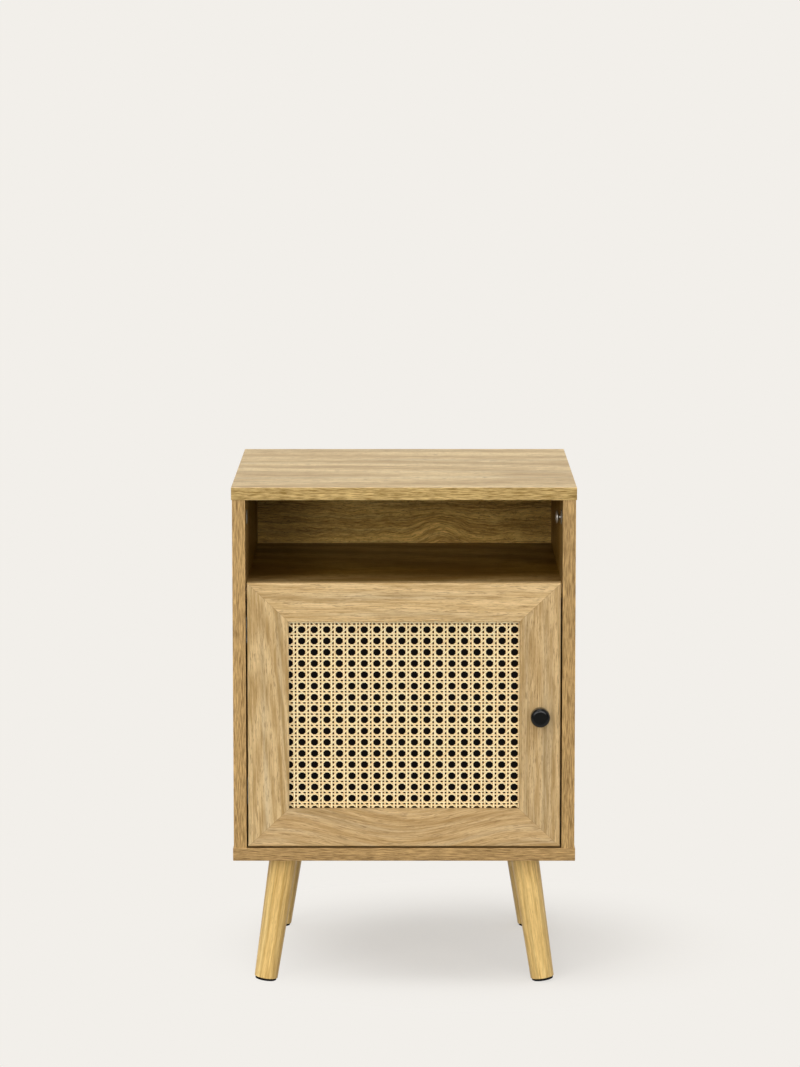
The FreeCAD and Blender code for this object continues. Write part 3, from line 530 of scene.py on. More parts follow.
def back_panel_finish():
    material, w, shader = finish_of("foil_back_panel")
    bent, near = knot(w)
    light, dark, pore = BACK_FOIL
    grain = oak_grain(w, Point=w.vector("MULTIPLY", bent, BACK_FINE), Seed=(BACK_SEED, 0.0, 0.0), Light=light,
                      Dark=dark, Pore=pore, Ring=0.009, Arch=0.05, Pith=0.03, Flecks=1.2, Figure=0.1,
                      Sheen=SATIN)
    point = object_point(w)
    x, y, _ = w.split(point)
    fan = w.fade(w.noise(w.vector("MULTIPLY", bent, FAN_GRAIN)), *FAN_SPAN)
    foil = w.blend(w.math("MULTIPLY", near, fan), grain["Colour"], KNOT_CAST, "MULTIPLY")
    # Painted shadow over the left end of the foil, as if cast by the left side
    foil = w.blend(w.fade(x, *BACK_SHADOW_SPAN, 1.0, 0.0), foil, BACK_PAINTED_SHADOW, "MULTIPLY")
    rear = w.fade(y, *REAR_SKIN)
    fibres = w.noise(w.vector("MULTIPLY", point, BOARD_GRAIN), detail=5, roughness=0.7)
    board = w.blend(w.fade(fibres, *EVEN_SPAN), BOARD_DARK, BOARD_LIGHT)
    w.feed(shader.inputs["Base Color"], w.blend(rear, foil, board))
    w.feed(shader.inputs["Roughness"], w.math("MULTIPLY_ADD", rear, REAR_ROUGH, grain["Roughness"]))
    shader.inputs["Specular IOR Level"].default_value = BACK_GLOSS
    bumped(w, shader, w.math("ADD", grain["Height"], w.math("MULTIPLY", rear, fibres)), WOOD_BUMP)
    return material


dress("back_panel", back_panel_finish())

# Legs: solid wood with the grain down each leaning leg; side, seed and tone of each
LEG_LEAN = math.radians(8.4)
LEG_PITH = Vector((0.1, 0.16, -0.1))
LEGS = {
    "front_left": (-1, 20.0, 1.0),
    "front_right": (1, 21.7, 0.955),
    "rear_left": (-1, 23.1, 1.0),
    "rear_right": (1, 24.9, 1.0),
}
for label, (side, seed, tone) in LEGS.items():
    leg = label + "_leg"
    pith = LEG_PITH * Vector((1, side, 1))
    dress(leg, oak("oak_" + leg, wood_tones(LEG_WOOD, tone), "Z", pith, seed, ring=0.007, arch=0.02,
                   deep=0.06, flecks=0.55, lean=side * LEG_LEAN))

# Pale wood of the strips behind the cane and of the dowels, with the way its grain runs
PALE_PITH = (0.0, 0.1, 0.1)
PALE_SEED = 30.0
PALE_PIECES = {
    "X": ("top_cane_strip", "bottom_cane_strip", "cabinet_dowels", "mitre_dowels"),
    "Z": ("left_cane_strip", "right_cane_strip"),
}
pale_tones = (PALE_LIGHT, PALE_DARK, toned(PALE_DARK, PALE_PORE))
for along, labels in PALE_PIECES.items():
    for label in labels:
        dress(label, oak("pale_" + label, pale_tones, along, PALE_PITH, PALE_SEED, flecks=0.4))

# Plain finishes of the fittings
EVEN_GRAIN = (2600.0, 2600.0, 2600.0)
BRUSHED_GRAIN = (400.0, 2400.0, 2400.0)
SLOW_DRIFT = (45.0, 45.0, 45.0)


def grained(name, colour, second, roughness, spread, bump, metallic=0.0, grain=EVEN_GRAIN, gloss=0.5):
    """A plain finish whose colour and roughness drift a little over a fine grain."""
    material, w, shader = finish_of(name)
    point = object_point(w)
    fine = w.noise(w.vector("MULTIPLY", point, grain), detail=3, roughness=0.6)
    slow = w.noise(w.vector("MULTIPLY", point, SLOW_DRIFT))
    w.feed(shader.inputs["Base Color"], w.blend(w.fade(slow, *EVEN_SPAN), colour, second))
    w.feed(shader.inputs["Roughness"], w.math("MULTIPLY_ADD", fine, spread, roughness - spread / 2))
    shader.inputs["Metallic"].default_value = metallic
    shader.inputs["Specular IOR Level"].default_value = gloss
    bumped(w, shader, fine, bump)
    return material


zinc = grained("zinc", tint(196, 196, 192), tint(176, 177, 175), roughness=0.32, spread=0.2,
               bump=0.01 * MM, metallic=1.0, grain=BRUSHED_GRAIN)
dull_zinc = grained("dull_zinc", tint(142, 136, 122), tint(122, 116, 104), roughness=0.66, spread=0.15,
                    bump=0.01 * MM, metallic=0.3, gloss=0.15)
nickel = grained("nickel", tint(206, 200, 190), tint(186, 180, 170), roughness=0.46, spread=0.12,
                 bump=0.01 * MM, metallic=1.0)
black_paint = grained("black_paint", tint(3, 3, 2), tint(6, 6, 5), roughness=0.15, spread=0.04,
                      bump=0.003 * MM, gloss=0.27)
# The cane's backing board: its own black, made near black as painted shade for the cavity seen through the
# cane's eyes
black_board = grained("black_board", tint(7, 5, 3), tint(11, 8, 5), roughness=0.85, spread=0.1,
                      bump=0.04 * MM, gloss=0.1)
black_pad = grained("black_pad", tint(7, 7, 6), tint(12, 12, 11), roughness=0.75, spread=0.15,
                    bump=0.04 * MM, gloss=0.15)
nylon = grained("catch_nylon", tint(232, 229, 220), tint(222, 219, 209), roughness=0.45, spread=0.1,
                bump=0.02 * MM)
ferrite = grained("catch_ferrite", tint(62, 60, 60), tint(74, 72, 71), roughness=0.6, spread=0.15,
                  bump=0.03 * MM)
FITTINGS = {
    zinc: ("cam_bolts", "leg_bolts", "leg_insert_nuts", "upper_hinge_arm", "lower_hinge_arm", "strike_plate",
           "upper_hinge_pocket", "lower_hinge_pocket", "hinge_pins"),
    dull_zinc: ("cam_locks",),
    black_paint: ("door_knob",),
    black_board: ("cane_backing",),
    black_pad: tuple(label + "_foot_pad" for label in LEGS),
    nylon: ("catch_body",),
    ferrite: ("catch_magnet",),
}
for material, labels in FITTINGS.items():
    for label in labels:
        dress(label, material)

# Cane strands: colour by strand, with fibre lines along each and browner sides, partly the cane's own edges
# and partly painted shade on their sloped faces
CANE_STRAW = tint(252, 228, 170)
CANE_PALE = tint(255, 247, 206)
CANE_TAN = tint(246, 206, 140)
CANE_NODE = tint(216, 164, 100)
CANE_EDGE_AND_SHADE = tint(208, 140, 48)
CANE_TINGE = 0.25
TAN_SPAN = (0.5, 1.0)
NODE_SPAN = (0.6, 0.75)
EDGE_SPAN = (0.64, 1.0)
FIBRE_SCALE = (30.0, 9.0, 400.0)
NODE_SCALE = (22.0, 300.0, 1.0)
CANE_GLOSS = 0.25
CANE_ROUGH = 0.34
CANE_ROUGH_SPREAD = 0.2
CANE_BUMP = 0.06 * MM


def cane_finish():
    material, w, shader = finish_of("cane")
    strand, along, across = (w.add("ShaderNodeAttribute", attribute_name=name).outputs["Fac"]
                             for name in ("strand", "along", "across"))
    place = w.vector("MULTIPLY", w.combine(along, across, strand), FIBRE_SCALE)
    fibre = w.noise(place, detail=4, roughness=0.7)
    node = w.noise(w.vector("MULTIPLY", w.combine(along, strand, 0.0), NODE_SCALE), detail=1)
    body = w.blend(w.fade(fibre, *EVEN_SPAN), CANE_STRAW, CANE_PALE)
    body = w.blend(w.math("MULTIPLY", w.fade(strand, *TAN_SPAN), CANE_TINGE), body, CANE_TAN)
    body = w.blend(w.math("MULTIPLY", w.fade(node, *NODE_SPAN), CANE_TINGE), body, CANE_NODE)
    # Browner on each strand's sloped sides: partly its own edge colour, partly painted shade
    sideways = w.math("ABSOLUTE", w.math("COSINE", w.math("MULTIPLY", across, TURN)))
    body = w.blend(w.fade(sideways, *EDGE_SPAN), body, CANE_EDGE_AND_SHADE)
    shader.inputs["Specular IOR Level"].default_value = CANE_GLOSS
    w.feed(shader.inputs["Base Color"], body)
    w.feed(shader.inputs["Roughness"], w.math("MULTIPLY_ADD", fibre, CANE_ROUGH_SPREAD, CANE_ROUGH))
    bumped(w, shader, fibre, CANE_BUMP)
    return material


cane = cane_finish()

# Cane weave: pairs of upright and level strands, and single strands both ways across the corners
PITCH = Vector((14.57, 13.29, 0.0)) * MM
WEAVE_SHIFT = Vector((-2.5, 0.35, 0.0)) * MM
UPRIGHT_WIDTH = 2.35 * MM
LEVEL_WIDTH = 1.9 * MM
SLANT_WIDTH = 1.8 * MM
STRAND_THICK = 0.75 * MM
STRAND_SIDES = 6
UNIT_RADIUS = 0.5
PAIR_GAP = 1.7 * MM
PAIR_RISE = 0.45 * MM
SLANT_RISE = 0.68 * MM
STRAND_WOBBLE = 0.35 * MM
WOBBLE_SCALE = 55.0
WOBBLE_SPREAD = 3.0
WOBBLE_MIDDLE = (0.5, 0.5, 0.5)
WOBBLE_WAYS = (1.0, 1.0, 0.0)
WEAVE_SEED = 11
SAMPLES_PER_PITCH = 8


def handed_out(w, body, finish):
    """The end of a geometry tree: its instances made real, and its finish set."""
    body = w.add("GeometryNodeRealizeInstances", {"Geometry": body}).outputs[0]
    body = w.add("GeometryNodeSetMaterial", {"Geometry": body, "Material": finish}).outputs[0]
    w.feed(w.add("NodeGroupOutput").inputs["Geometry"], body)


def strand_tree():
    """Geometry nodes that weave one family of strands flat in X and Y, rising in Z, and stand it upright."""
    tree = bpy.data.node_groups.new("cane_strands", "GeometryNodeTree")
    sockets(tree, "INPUT", Geometry="Geometry", Strands="Int", Group="Int", First="Vector", Step="Vector",
            Twin="Vector", Run="Vector", Samples="Int", Width="Float", Thickness="Float", Rise="Float",
            Wave="Vector", Phase="Float", Low="Vector", High="Vector", Wobble="Float", Place="Vector",
            Finish="Material")
    sockets(tree, "OUTPUT", Geometry="Geometry")
    w = Wiring(tree)
    given = w.add("NodeGroupInput").outputs

    def stored(geometry, name, value):
        inputs = {"Geometry": geometry, "Name": name, "Value": value}
        node = w.add("GeometryNodeStoreNamedAttribute", inputs, data_type="FLOAT", domain="POINT")
        return node.outputs["Geometry"]

    def recalled(name):
        node = w.add("GeometryNodeInputNamedAttribute", {"Name": name}, data_type="FLOAT")
        return node.outputs["Attribute"]

    index = w.add("GeometryNodeInputIndex").outputs[0]
    group = w.math("FLOOR", w.math("DIVIDE", index, given["Group"]))
    twin = w.math("MODULO", index, given["Group"])
    start = w.vector("ADD", w.scaled(given["Step"], group), w.scaled(given["Twin"], twin))
    start = w.vector("ADD", start, given["First"])
    points = w.add("GeometryNodePoints", {"Count": given["Strands"], "Position": start}).outputs[0]
    chance = w.add("FunctionNodeRandomValue", {"Seed": WEAVE_SEED}, data_type="FLOAT").outputs[1]
    points = stored(stored(points, "twin", twin), "strand", chance)

    line = w.add("GeometryNodeCurvePrimitiveLine", {"End": given["Run"]}).outputs[0]
    line = w.add("GeometryNodeResampleCurve", {"Curve": line, "Count": given["Samples"]}).outputs[0]
    strands = w.add("GeometryNodeInstanceOnPoints", {"Points": points, "Instance": line}).outputs[0]
    strands = w.add("GeometryNodeRealizeInstances", {"Geometry": strands}).outputs[0]

    place = w.add("GeometryNodeInputPosition").outputs[0]
    turn = w.math("MULTIPLY_ADD", w.vector("DOT_PRODUCT", place, given["Wave"]), TURN, given["Phase"])
    side = w.math("MULTIPLY_ADD", recalled("twin"), -2.0, 1.0)
    rise = w.math("MULTIPLY", w.math("MULTIPLY", w.math("SINE", turn), side), given["Rise"])
    own = w.combine(0.0, 0.0, w.math("MULTIPLY", recalled("strand"), WOBBLE_SPREAD))
    seeded = w.vector("ADD", w.scaled(place, WOBBLE_SCALE), own)
    drift = w.add("ShaderNodeTexNoise", {"Vector": seeded, "Scale": 1.0, "Detail": 1.0}).outputs["Color"]
    drift = w.scaled(w.vector("SUBTRACT", drift, WOBBLE_MIDDLE), given["Wobble"])
    offset = w.vector("ADD", w.vector("MULTIPLY", drift, WOBBLE_WAYS), w.combine(0.0, 0.0, rise))
    strands = w.add("GeometryNodeSetPosition", {"Geometry": strands, "Offset": offset}).outputs[0]

    above = w.vector("SUBTRACT", place, given["Low"])
    room_x, room_y, _ = w.split(w.vector("MINIMUM", above, w.vector("SUBTRACT", given["High"], place)))
    outside = w.add("FunctionNodeCompare", {"A": w.math("MINIMUM", room_x, room_y), "B": 0.0},
                    data_type="FLOAT", operation="LESS_THAN").outputs[0]
    strands = w.add("GeometryNodeDeleteGeometry", {"Geometry": strands, "Selection": outside}).outputs[0]
    strands = w.add("GeometryNodeSetCurveNormal", {"Curve": strands}, mode="Z_UP").outputs[0]
    strands = stored(strands, "along", w.add("GeometryNodeSplineParameter").outputs["Length"])

    oval = {"Resolution": STRAND_SIDES, "Radius": UNIT_RADIUS}
    oval = w.add("GeometryNodeCurvePrimitiveCircle", oval).outputs[0]
    size = w.combine(given["Width"], given["Thickness"], 1.0)
    oval = w.add("GeometryNodeTransform", {"Geometry": oval, "Scale": size}).outputs[0]
    oval = stored(oval, "across", w.add("GeometryNodeSplineParameter").outputs["Factor"])
    tube = {"Curve": strands, "Profile Curve": oval, "Fill Caps": True}
    body = w.add("GeometryNodeCurveToMesh", tube).outputs[0]
    upright = {"Geometry": body, "Rotation": (TURN / 4, 0.0, 0.0), "Translation": given["Place"]}
    body = w.add("GeometryNodeTransform", upright).outputs[0]
    body = w.add("GeometryNodeSetShadeSmooth", {"Geometry": body}).outputs[0]
    handed_out(w, body, given["Finish"])
    return tree


def grown(name, tree, mesh=None, **values):
    """An object whose plain mesh is what a geometry tree makes with these values."""
    obj = bpy.data.objects.new(name, mesh or bpy.data.meshes.new(name))
    bpy.context.scene.collection.objects.link(obj)
    modifier = obj.modifiers.new("maker", "NODES")
    modifier.node_group = tree
    for item in tree.interface.items_tree:
        if item.in_out == "INPUT" and item.name in values:
            modifier[item.identifier] = values[item.name]
    graph = bpy.context.evaluated_depsgraph_get()
    shown = obj.evaluated_get(graph)
    made = bpy.data.meshes.new_from_object(shown, preserve_all_data_layers=True, depsgraph=graph)
    made.name = name
    obj.modifiers.clear()
    obj.data = made
    return obj


panel_low, panel_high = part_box("cane_panel")
WEAVE_MIDDLE = Vector((0.0, (panel_low.y + panel_high.y) / 2, (panel_low.z + panel_high.z) / 2))
SHEET = Vector((panel_high.x - panel_low.x, panel_high.z - panel_low.z, 0.0))
TRIM = 0.5 * MM
OPEN_ROOM = 1.0
WEAVE_HIGH = (SHEET.x / 2 - TRIM, SHEET.y / 2 - TRIM, OPEN_ROOM)
WEAVE_LOW = tuple(-reach for reach in WEAVE_HIGH)
# An eye's middle is where both phases of the weave are whole; the pairs run halfway between eyes
EYE = WEAVE_SHIFT + Vector((0.0, PITCH.y / 2, 0.0))
SPARE = 3
COLUMNS = int(SHEET.x / PITCH.x) + SPARE
LEVELS = int(SHEET.y / PITCH.y) + SPARE
SLANTS = COLUMNS + LEVELS + SPARE
weaver = strand_tree()


def weave_family(name, **values):
    """One family of strands, which stands for the cane panel with the others."""
    piece = grown(name, weaver, Thickness=STRAND_THICK, Low=WEAVE_LOW, High=WEAVE_HIGH, Wobble=STRAND_WOBBLE,
                  Place=WEAVE_MIDDLE, Finish=cane, **values)
    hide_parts("cane_panel")
    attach(piece, "door")


def phase_at(point, wave):
    """Turns the wave so that an eye's middle has phase nought."""
    return -TURN * (point.x * wave[0] + point.y * wave[1])


first_x = EYE.x - (COLUMNS // 2 + 0.5) * PITCH.x
first_y = EYE.y - (LEVELS // 2 + 0.5) * PITCH.y
tall = (LEVELS + 1) * PITCH.y
wide = (COLUMNS + 1) * PITCH.x
tall_samples = SAMPLES_PER_PITCH * (LEVELS + 1) + 1
wide_samples = SAMPLES_PER_PITCH * (COLUMNS + 1) + 1
across_waves = (1 / PITCH.x, 0.0, 0.0)
up_waves = (0.0, 1 / PITCH.y, 0.0)
across_step = (PITCH.x, 0.0, 0.0)
up_step = (0.0, PITCH.y, 0.0)
upright_half = (PAIR_GAP + UPRIGHT_WIDTH) / 2
level_half = (PAIR_GAP + LEVEL_WIDTH) / 2
weave_family(
    "cane_uprights", Strands=2 * (COLUMNS + 1), Group=2, First=(first_x - upright_half, first_y, 0.0),
    Step=across_step, Twin=(2 * upright_half, 0.0, 0.0), Run=(0.0, tall, 0.0), Samples=tall_samples,
    Width=UPRIGHT_WIDTH, Rise=PAIR_RISE, Wave=up_waves, Phase=phase_at(EYE, up_waves))
weave_family(
    "cane_levels", Strands=2 * (LEVELS + 1), Group=2, First=(first_x, first_y - level_half, 0.0),
    Step=up_step, Twin=(0.0, 2 * level_half, 0.0), Run=(wide, 0.0, 0.0), Samples=wide_samples,
    Width=LEVEL_WIDTH, Rise=-PAIR_RISE, Wave=across_waves, Phase=phase_at(EYE, across_waves))
for name, slope, quarter in (("cane_rising", 1, -TURN / 4), ("cane_falling", -1, TURN / 4)):
    climb = (COLUMNS + 1) * PITCH.y
    low_y = first_y - climb if slope > 0 else first_y
    weave_family(
        name, Strands=SLANTS, Group=1, First=(first_x, low_y + 0.5 * PITCH.y, 0.0), Step=up_step,
        Run=(wide, slope * climb, 0.0), Samples=wide_samples, Width=SLANT_WIDTH, Rise=SLANT_RISE,
        Wave=across_waves, Phase=phase_at(EYE, across_waves) + quarter)

# Small turned fittings, set by geometry nodes where the frame has its screws and cam locks
MERGE = 0.001 * MM
LATHE_SEGMENTS = 36
CROSS_TAPER = 0.45
SHARP_EDGE = math.radians(32)


def islands(label):
    """Lowest and highest corners of each loose part of a CAD node."""
    shape = bmesh.new()
    shape.from_mesh(nodes[label].data)
    bmesh.ops.remove_doubles(shape, verts=shape.verts, dist=MERGE)
    waiting = set(shape.verts)
    boxes = []
    while waiting:
        part = set()
        front = {waiting.pop()}
        while front:
            part |= front
            front = {edge.other_vert(vert) for vert in front for edge in vert.link_edges} - part
        waiting -= part
        reaches = list(zip(*(vert.co for vert in part)))
        boxes.append([Vector([pick(reach) for reach in reaches]) for pick in (min, max)])
    shape.free()
    return sorted(boxes, key=lambda corners: tuple(corners[0]))


def lathed(name, profile):
    """A closed mesh turned about Z from radius and height pairs that start and end on the axis."""
    shape = bmesh.new()
    rings = []
    for radius, height in profile:
        turns = [TURN * n / LATHE_SEGMENTS for n in range(LATHE_SEGMENTS if radius else 1)]
        spots = [(radius * math.cos(turn), radius * math.sin(turn), height) for turn in turns]
        rings.append([shape.verts.new(spot) for spot in spots])
    for lower, upper in zip(rings, rings[1:]):
        for n in range(LATHE_SEGMENTS):
            places = ((lower, n), (lower, n + 1), (upper, n + 1), (upper, n))
            corners = [ring[place % len(ring)] for ring, place in places]
            shape.faces.new(dict.fromkeys(corners))
    bmesh.ops.recalc_face_normals(shape, faces=shape.faces)
    mesh = bpy.data.meshes.new(name)
    shape.to_mesh(mesh)
    shape.free()
    return mesh


def cross_cutter(span, width, top, deep):
    """A tapering cross that a driver bit would fill."""
    half, arm = span / 2, width / 2
    outline = [(arm, arm), (arm, half), (-arm, half), (-arm, arm), (-half, arm), (-half, -arm), (-arm, -arm),
               (-arm, -half), (arm, -half), (arm, -arm), (half, -arm), (half, arm)]
    count = len(outline)
    ends = ((top - deep, 1.0 - CROSS_TAPER), (top + deep, 1.0 + CROSS_TAPER))
    spots = [(x * scale, y * scale, z) for z, scale in ends for x, y in outline]
    sides = [(n, (n + 1) % count, (n + 1) % count + count, n + count) for n in range(count)]
    mesh = bpy.data.meshes.new("cross")
    mesh.from_pydata(spots, [], sides + [tuple(reversed(range(count))), tuple(range(count, 2 * count))])
    return mesh


def crossed(mesh, span, width, top, deep):
    """A fitting's template with a cross recess in its head."""
    template = bpy.data.objects.new(mesh.name, mesh)
    cutter = bpy.data.objects.new("cross", cross_cutter(span, width, top, deep))
    for obj in (template, cutter):
        bpy.context.scene.collection.objects.link(obj)
    recess = template.modifiers.new("recess", "BOOLEAN")
    recess.object = cutter
    recess.operation = "DIFFERENCE"
    graph = bpy.context.evaluated_depsgraph_get()
    made = bpy.data.meshes.new_from_object(template.evaluated_get(graph))
    made.shade_smooth()
    made.set_sharp_from_angle(angle=SHARP_EDGE)
    template.modifiers.clear()
    template.data = made
    bpy.data.objects.remove(cutter)
    return template


def setting_tree():
    """Geometry nodes that set a fitting on each point, facing the way the point says."""
    tree = bpy.data.node_groups.new("set_fittings", "GeometryNodeTree")
    sockets(tree, "INPUT", Geometry="Geometry", Fitting="Object", Finish="Material", Seed="Int")
    sockets(tree, "OUTPUT", Geometry="Geometry")
    w = Wiring(tree)
    given = w.add("NodeGroupInput").outputs
    facing = w.add("GeometryNodeInputNamedAttribute", {"Name": "facing"}, data_type="FLOAT_VECTOR")
    facing = facing.outputs["Attribute"]
    turned = w.add("FunctionNodeAlignRotationToVector", {"Vector": facing}, axis="Z").outputs[0]
    chance = w.add("FunctionNodeRandomValue", {"Seed": given["Seed"]}, data_type="FLOAT").outputs[1]
    angle = w.math("MULTIPLY", chance, TURN / 4)
    spin = w.add("FunctionNodeAxisAngleToRotation", {"Angle": angle}).outputs[0]
    turned = w.add("FunctionNodeRotateRotation", {0: turned, 1: spin}, rotation_space="LOCAL").outputs[0]
    fitting = w.add("GeometryNodeObjectInfo", {"Object": given["Fitting"]}).outputs["Geometry"]
    inputs = {"Points": given["Geometry"], "Instance": fitting, "Rotation": turned}
    body = w.add("GeometryNodeInstanceOnPoints", inputs).outputs[0]
    handed_out(w, body, given["Finish"])
    return tree


def fitted(name, template, spots, facing, body, seed, finish):
    """One piece with a copy of a template at each spot, all facing one way."""
    mesh = bpy.data.meshes.new(name + "_spots")
    mesh.from_pydata(spots, [], [])
    for entry in mesh.attributes.new("facing", "FLOAT_VECTOR", "POINT").data:
        entry.vector = facing
    piece = grown(name, setter, mesh, Fitting=template, Finish=finish, Seed=seed)
    bpy.data.objects.remove(template)
    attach(piece, body)
    return piece


setter = setting_tree()
SHANK = 1.75 * MM
KNOB_SHANK = 2.0 * MM
HEAD = 1.5 * MM
KNOB_HEAD = 2.4 * MM
# A screw's point, and its blunt tip, head and cross recess as shares of its own sizes
POINT = 3.0 * MM
BLUNT_WIDE = 0.35
BLUNT_TALL = 0.2
RIM_DROP = 0.5
SHOULDER_WIDE = 0.84
SHOULDER_DROP = 0.16
CROWN_WIDE = 0.5
CROSS_SPAN = 1.1
CROSS_ARM = 0.26
CROSS_DEEP = 0.6
# Screws: body, way the head faces, radius of the shank and thickness of the head
SCREWS = {
    "hinge_arm_screws": ("carcass", (1, 0, 0), SHANK, HEAD),
    "catch_screws": ("carcass", (0, 0, -1), SHANK, HEAD),
    "hinge_pocket_screws": ("door", (0, 1, 0), SHANK, HEAD),
    "knob_screw": ("door", (0, 1, 0), KNOB_SHANK, KNOB_HEAD),
    "strike_screw": ("door", (0, 1, 0), SHANK, HEAD),
}
for seed, (label, (body, direction, shank, thick)) in enumerate(SCREWS.items()):
    facing = Vector(direction)
    boxes = islands(label)
    low, high = boxes[0]
    long = abs((high - low).dot(facing))
    # The head's radius is a quarter of the two sides of its box that lie across the screw
    head = (sum(high - low) - long) / 4
    profile = [(0.0, -long), (shank * BLUNT_WIDE, POINT * BLUNT_TALL - long), (shank, POINT - long),
               (shank, -thick), (head, -thick), (head, -RIM_DROP * thick),
               (head * SHOULDER_WIDE, -SHOULDER_DROP * thick), (head * CROWN_WIDE, 0.0), (0.0, 0.0)]
    form = lathed(label + "_form", profile)
    template = crossed(form, head * CROSS_SPAN, head * CROSS_ARM, 0.0, thick * CROSS_DEEP)
    spots = [(low + high) / 2 + facing * long / 2 for low, high in boxes]
    piece = fitted("turned_" + label, template, spots, facing, body, seed, zinc)
    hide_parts(label)

# Domed heads that stand off the right side's cam locks; those on the left stay flush
COVER = 7.6 * MM
COVER_RISE = 6.6 * MM
COVER_THICK = 2.6 * MM
COVER_RIM = 1.1 * MM
COVER_STEM = 1.8 * MM
COVER_FLARE = 2.2 * MM
COVER_STEPS = 7
COVER_ARM = 0.22 * COVER
COVER_CROSS_DEEP = 1.2 * MM
COVER_FACING = Vector((-1.0, 0.0, 0.0))
crown = COVER_THICK - COVER_RIM
dome = (COVER ** 2 + crown ** 2) / (2 * crown)
sweep = math.asin(COVER / dome)
under = COVER_RISE - COVER_THICK
cover_profile = [(0.0, 0.0), (COVER_STEM, 0.0), (COVER_STEM, under - COVER_FLARE), (COVER, under)]
for step in range(COVER_STEPS, -1, -1):
    turn = sweep * step / COVER_STEPS
    cover_profile.append((dome * math.sin(turn) if step else 0.0, COVER_RISE - dome * (1 - math.cos(turn))))
cover = crossed(lathed("cam_cover_form", cover_profile), COVER, COVER_ARM, COVER_RISE, COVER_CROSS_DEEP)
cover_spots = []
for low, high in islands("cam_locks"):
    extent = high - low
    if low.x > 0 and extent.x < extent.z:
        cover_spots.append((low + high) / 2 + COVER_FACING * extent.x / 2)
fitted("cam_covers", cover, cover_spots, COVER_FACING, "carcass", len(SCREWS), nickel)

# Softboxes, far off: azimuth from the front towards the right, elevation and spread in degrees, and strength
SOFTBOXES = {
    "overhead": (-25.0, 75.0, 34.0, 1.26),
    "front_left": (-28.0, 22.0, 34.0, 0.98),
    "front_right": (16.0, 22.0, 34.0, 0.75),
    "low_fill": (0.0, 4.0, 30.0, 1.19),
    "rear_left": (-120.0, 30.0, 80.0, 0.78),
    "rear_right": (120.0, 30.0, 80.0, 0.64),
}
AMBIENT = 0.2
floor_light = AMBIENT
for name, (azimuth, elevation, spread, strength) in SOFTBOXES.items():
    light = bpy.data.lights.new(name, "SUN")
    light.energy = strength
    light.angle = math.radians(spread)
    lamp = bpy.data.objects.new(name, light)
    turn, rise = math.radians(azimuth), math.radians(elevation)
    level = math.cos(rise)
    towards = Vector((math.sin(turn) * level, -math.cos(turn) * level, math.sin(rise)))
    lamp.rotation_mode = "QUATERNION"
    lamp.rotation_quaternion = towards.to_track_quat("Z", "Y")
    bpy.context.scene.collection.objects.link(lamp)
    floor_light += strength * towards.z / math.pi

# Floor and backdrop, seen in their own colour but keeping a soft shadow
BACKDROP = tint(242, 239, 234)
WHITE = (1.0, 1.0, 1.0, 1.0)
SHADOW_SHARE = 0.44
POOL_MIDDLE = (0.09, 0.06, 0.0)
POOL_REACH = (0.36, 0.32, 1.0)
POOL_SPAN = (0.3, 1.1)
FLOOR_BOUNCE = 0.4
SWEEP_END = 0.9
SWEEP_FADE = 0.5
SKY_SPAN = (-0.3, 0.1)
FLOOR_HALF = 40.0


def seen_share(w, behind):
    """One for rays that see the backdrop's own colour; mirrored ones don't see it far in front."""
    path = w.add("ShaderNodeLightPath").outputs
    mirrored = w.math("MAXIMUM", path["Is Glossy Ray"], path["Is Transmission Ray"])
    return w.math("MAXIMUM", path["Is Camera Ray"], w.math("MULTIPLY", mirrored, behind))


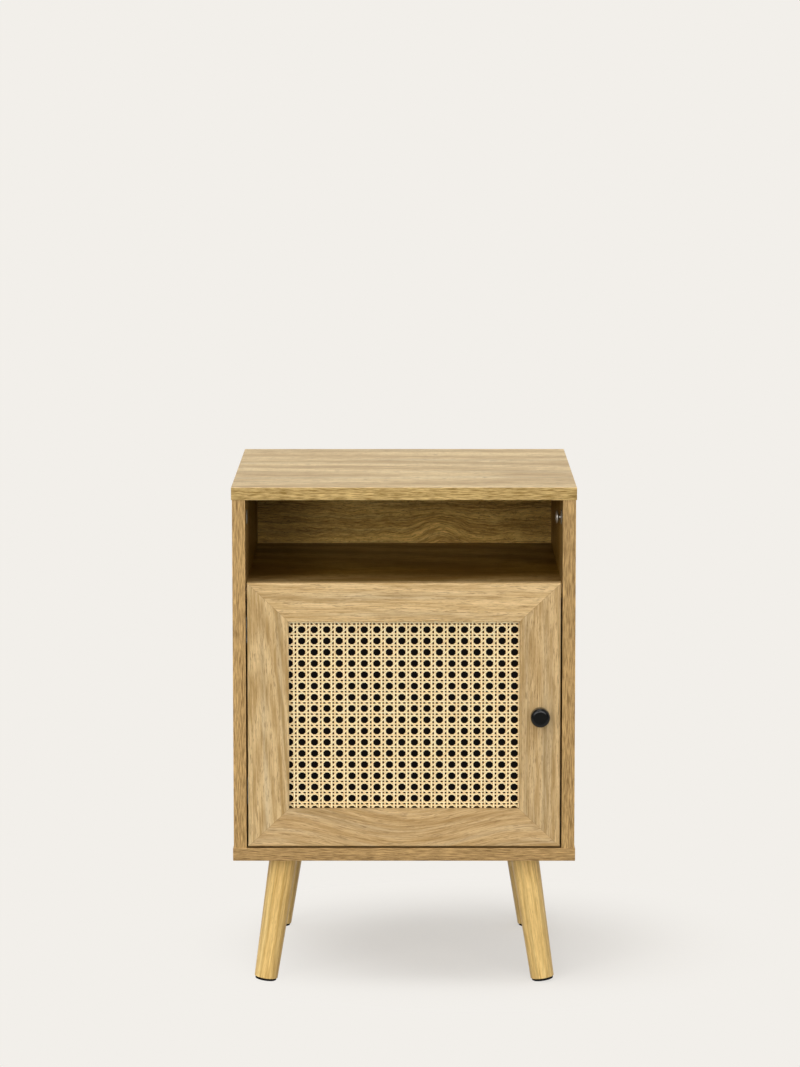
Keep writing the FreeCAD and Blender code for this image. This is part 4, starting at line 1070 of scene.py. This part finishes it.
def floor_finish():
    material = bpy.data.materials.new("studio_floor")
    material.use_nodes = True
    tree = material.node_tree
    tree.nodes.clear()
    w = Wiring(tree)
    geometry = w.add("ShaderNodeNewGeometry").outputs
    seen = seen_share(w, w.fade(w.split(geometry["Position"])[1], -SWEEP_END - SWEEP_FADE, -SWEEP_END))
    colour = w.blend(seen, toned(BACKDROP, FLOOR_BOUNCE), toned(BACKDROP, 1.0 / floor_light))
    lit = w.add("ShaderNodeBsdfDiffuse", {"Color": colour}).outputs[0]
    plain = w.add("ShaderNodeEmission", {"Color": BACKDROP}).outputs[0]
    from_pool = w.vector("DIVIDE", w.vector("SUBTRACT", geometry["Position"], POOL_MIDDLE), POOL_REACH)
    kept = w.fade(w.vector("LENGTH", from_pool), *POOL_SPAN, 1.0 - SHADOW_SHARE, 1.0)
    surface = w.add("ShaderNodeMixShader", {0: w.math("MULTIPLY", seen, kept), 1: lit, 2: plain}).outputs[0]
    clear = w.add("ShaderNodeBsdfTransparent").outputs[0]
    surface = w.add("ShaderNodeMixShader", {0: geometry["Backfacing"], 1: surface, 2: clear}).outputs[0]
    w.feed(w.add("ShaderNodeOutputMaterial").inputs["Surface"], surface)
    return material


floor_mesh = bpy.data.meshes.new("studio_floor")
corners = [(x * FLOOR_HALF, y * FLOOR_HALF, 0.0) for x, y in ((-1, -1), (1, -1), (1, 1), (-1, 1))]
floor_mesh.from_pydata(corners, [], [(0, 1, 2, 3)])
floor_mesh.materials.append(floor_finish())
floor = bpy.data.objects.new("studio_floor", floor_mesh)
bpy.context.scene.collection.objects.link(floor)
floor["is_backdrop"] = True

world = bpy.data.worlds.new("studio")
world.use_nodes = True
world.node_tree.nodes.clear()
sky = Wiring(world.node_tree)
soft = sky.add("ShaderNodeBackground", {"Strength": AMBIENT, "Color": WHITE}).outputs[0]
plain = sky.add("ShaderNodeBackground", {"Strength": 1.0, "Color": BACKDROP}).outputs[0]
behind = sky.fade(sky.split(sky.add("ShaderNodeTexCoord").outputs["Generated"])[1], *SKY_SPAN)
surround = sky.add("ShaderNodeMixShader", {0: seen_share(sky, behind), 1: soft, 2: plain}).outputs[0]
sky.feed(sky.add("ShaderNodeOutputWorld").inputs["Surface"], surround)
bpy.context.scene.world = world

# Camera, at the place that the picture's own perspective gives; its turns are degrees
FRAME_LONG = 1067
SENSOR = 36.0
FOCUS_PIXELS = 4009.5
VIEW_END = 200.0
CAMERA_PLACE = Vector((5.7, -4787.9, 1154.9)) * MM
CAMERA_TURN = (90 - 7.59, 0.02, 0.126)
camera_data = bpy.data.cameras.new("camera")
camera_data.sensor_fit = "AUTO"
camera_data.sensor_width = SENSOR
camera_data.lens = FOCUS_PIXELS * SENSOR / FRAME_LONG
camera_data.clip_end = VIEW_END
camera = bpy.data.objects.new("camera", camera_data)
camera.location = CAMERA_PLACE
camera.rotation_euler = [math.radians(angle) for angle in CAMERA_TURN]
bpy.context.scene.collection.objects.link(camera)
bpy.context.scene.camera = camera
bpy.context.scene.view_settings.view_transform = "Standard"

low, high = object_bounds()
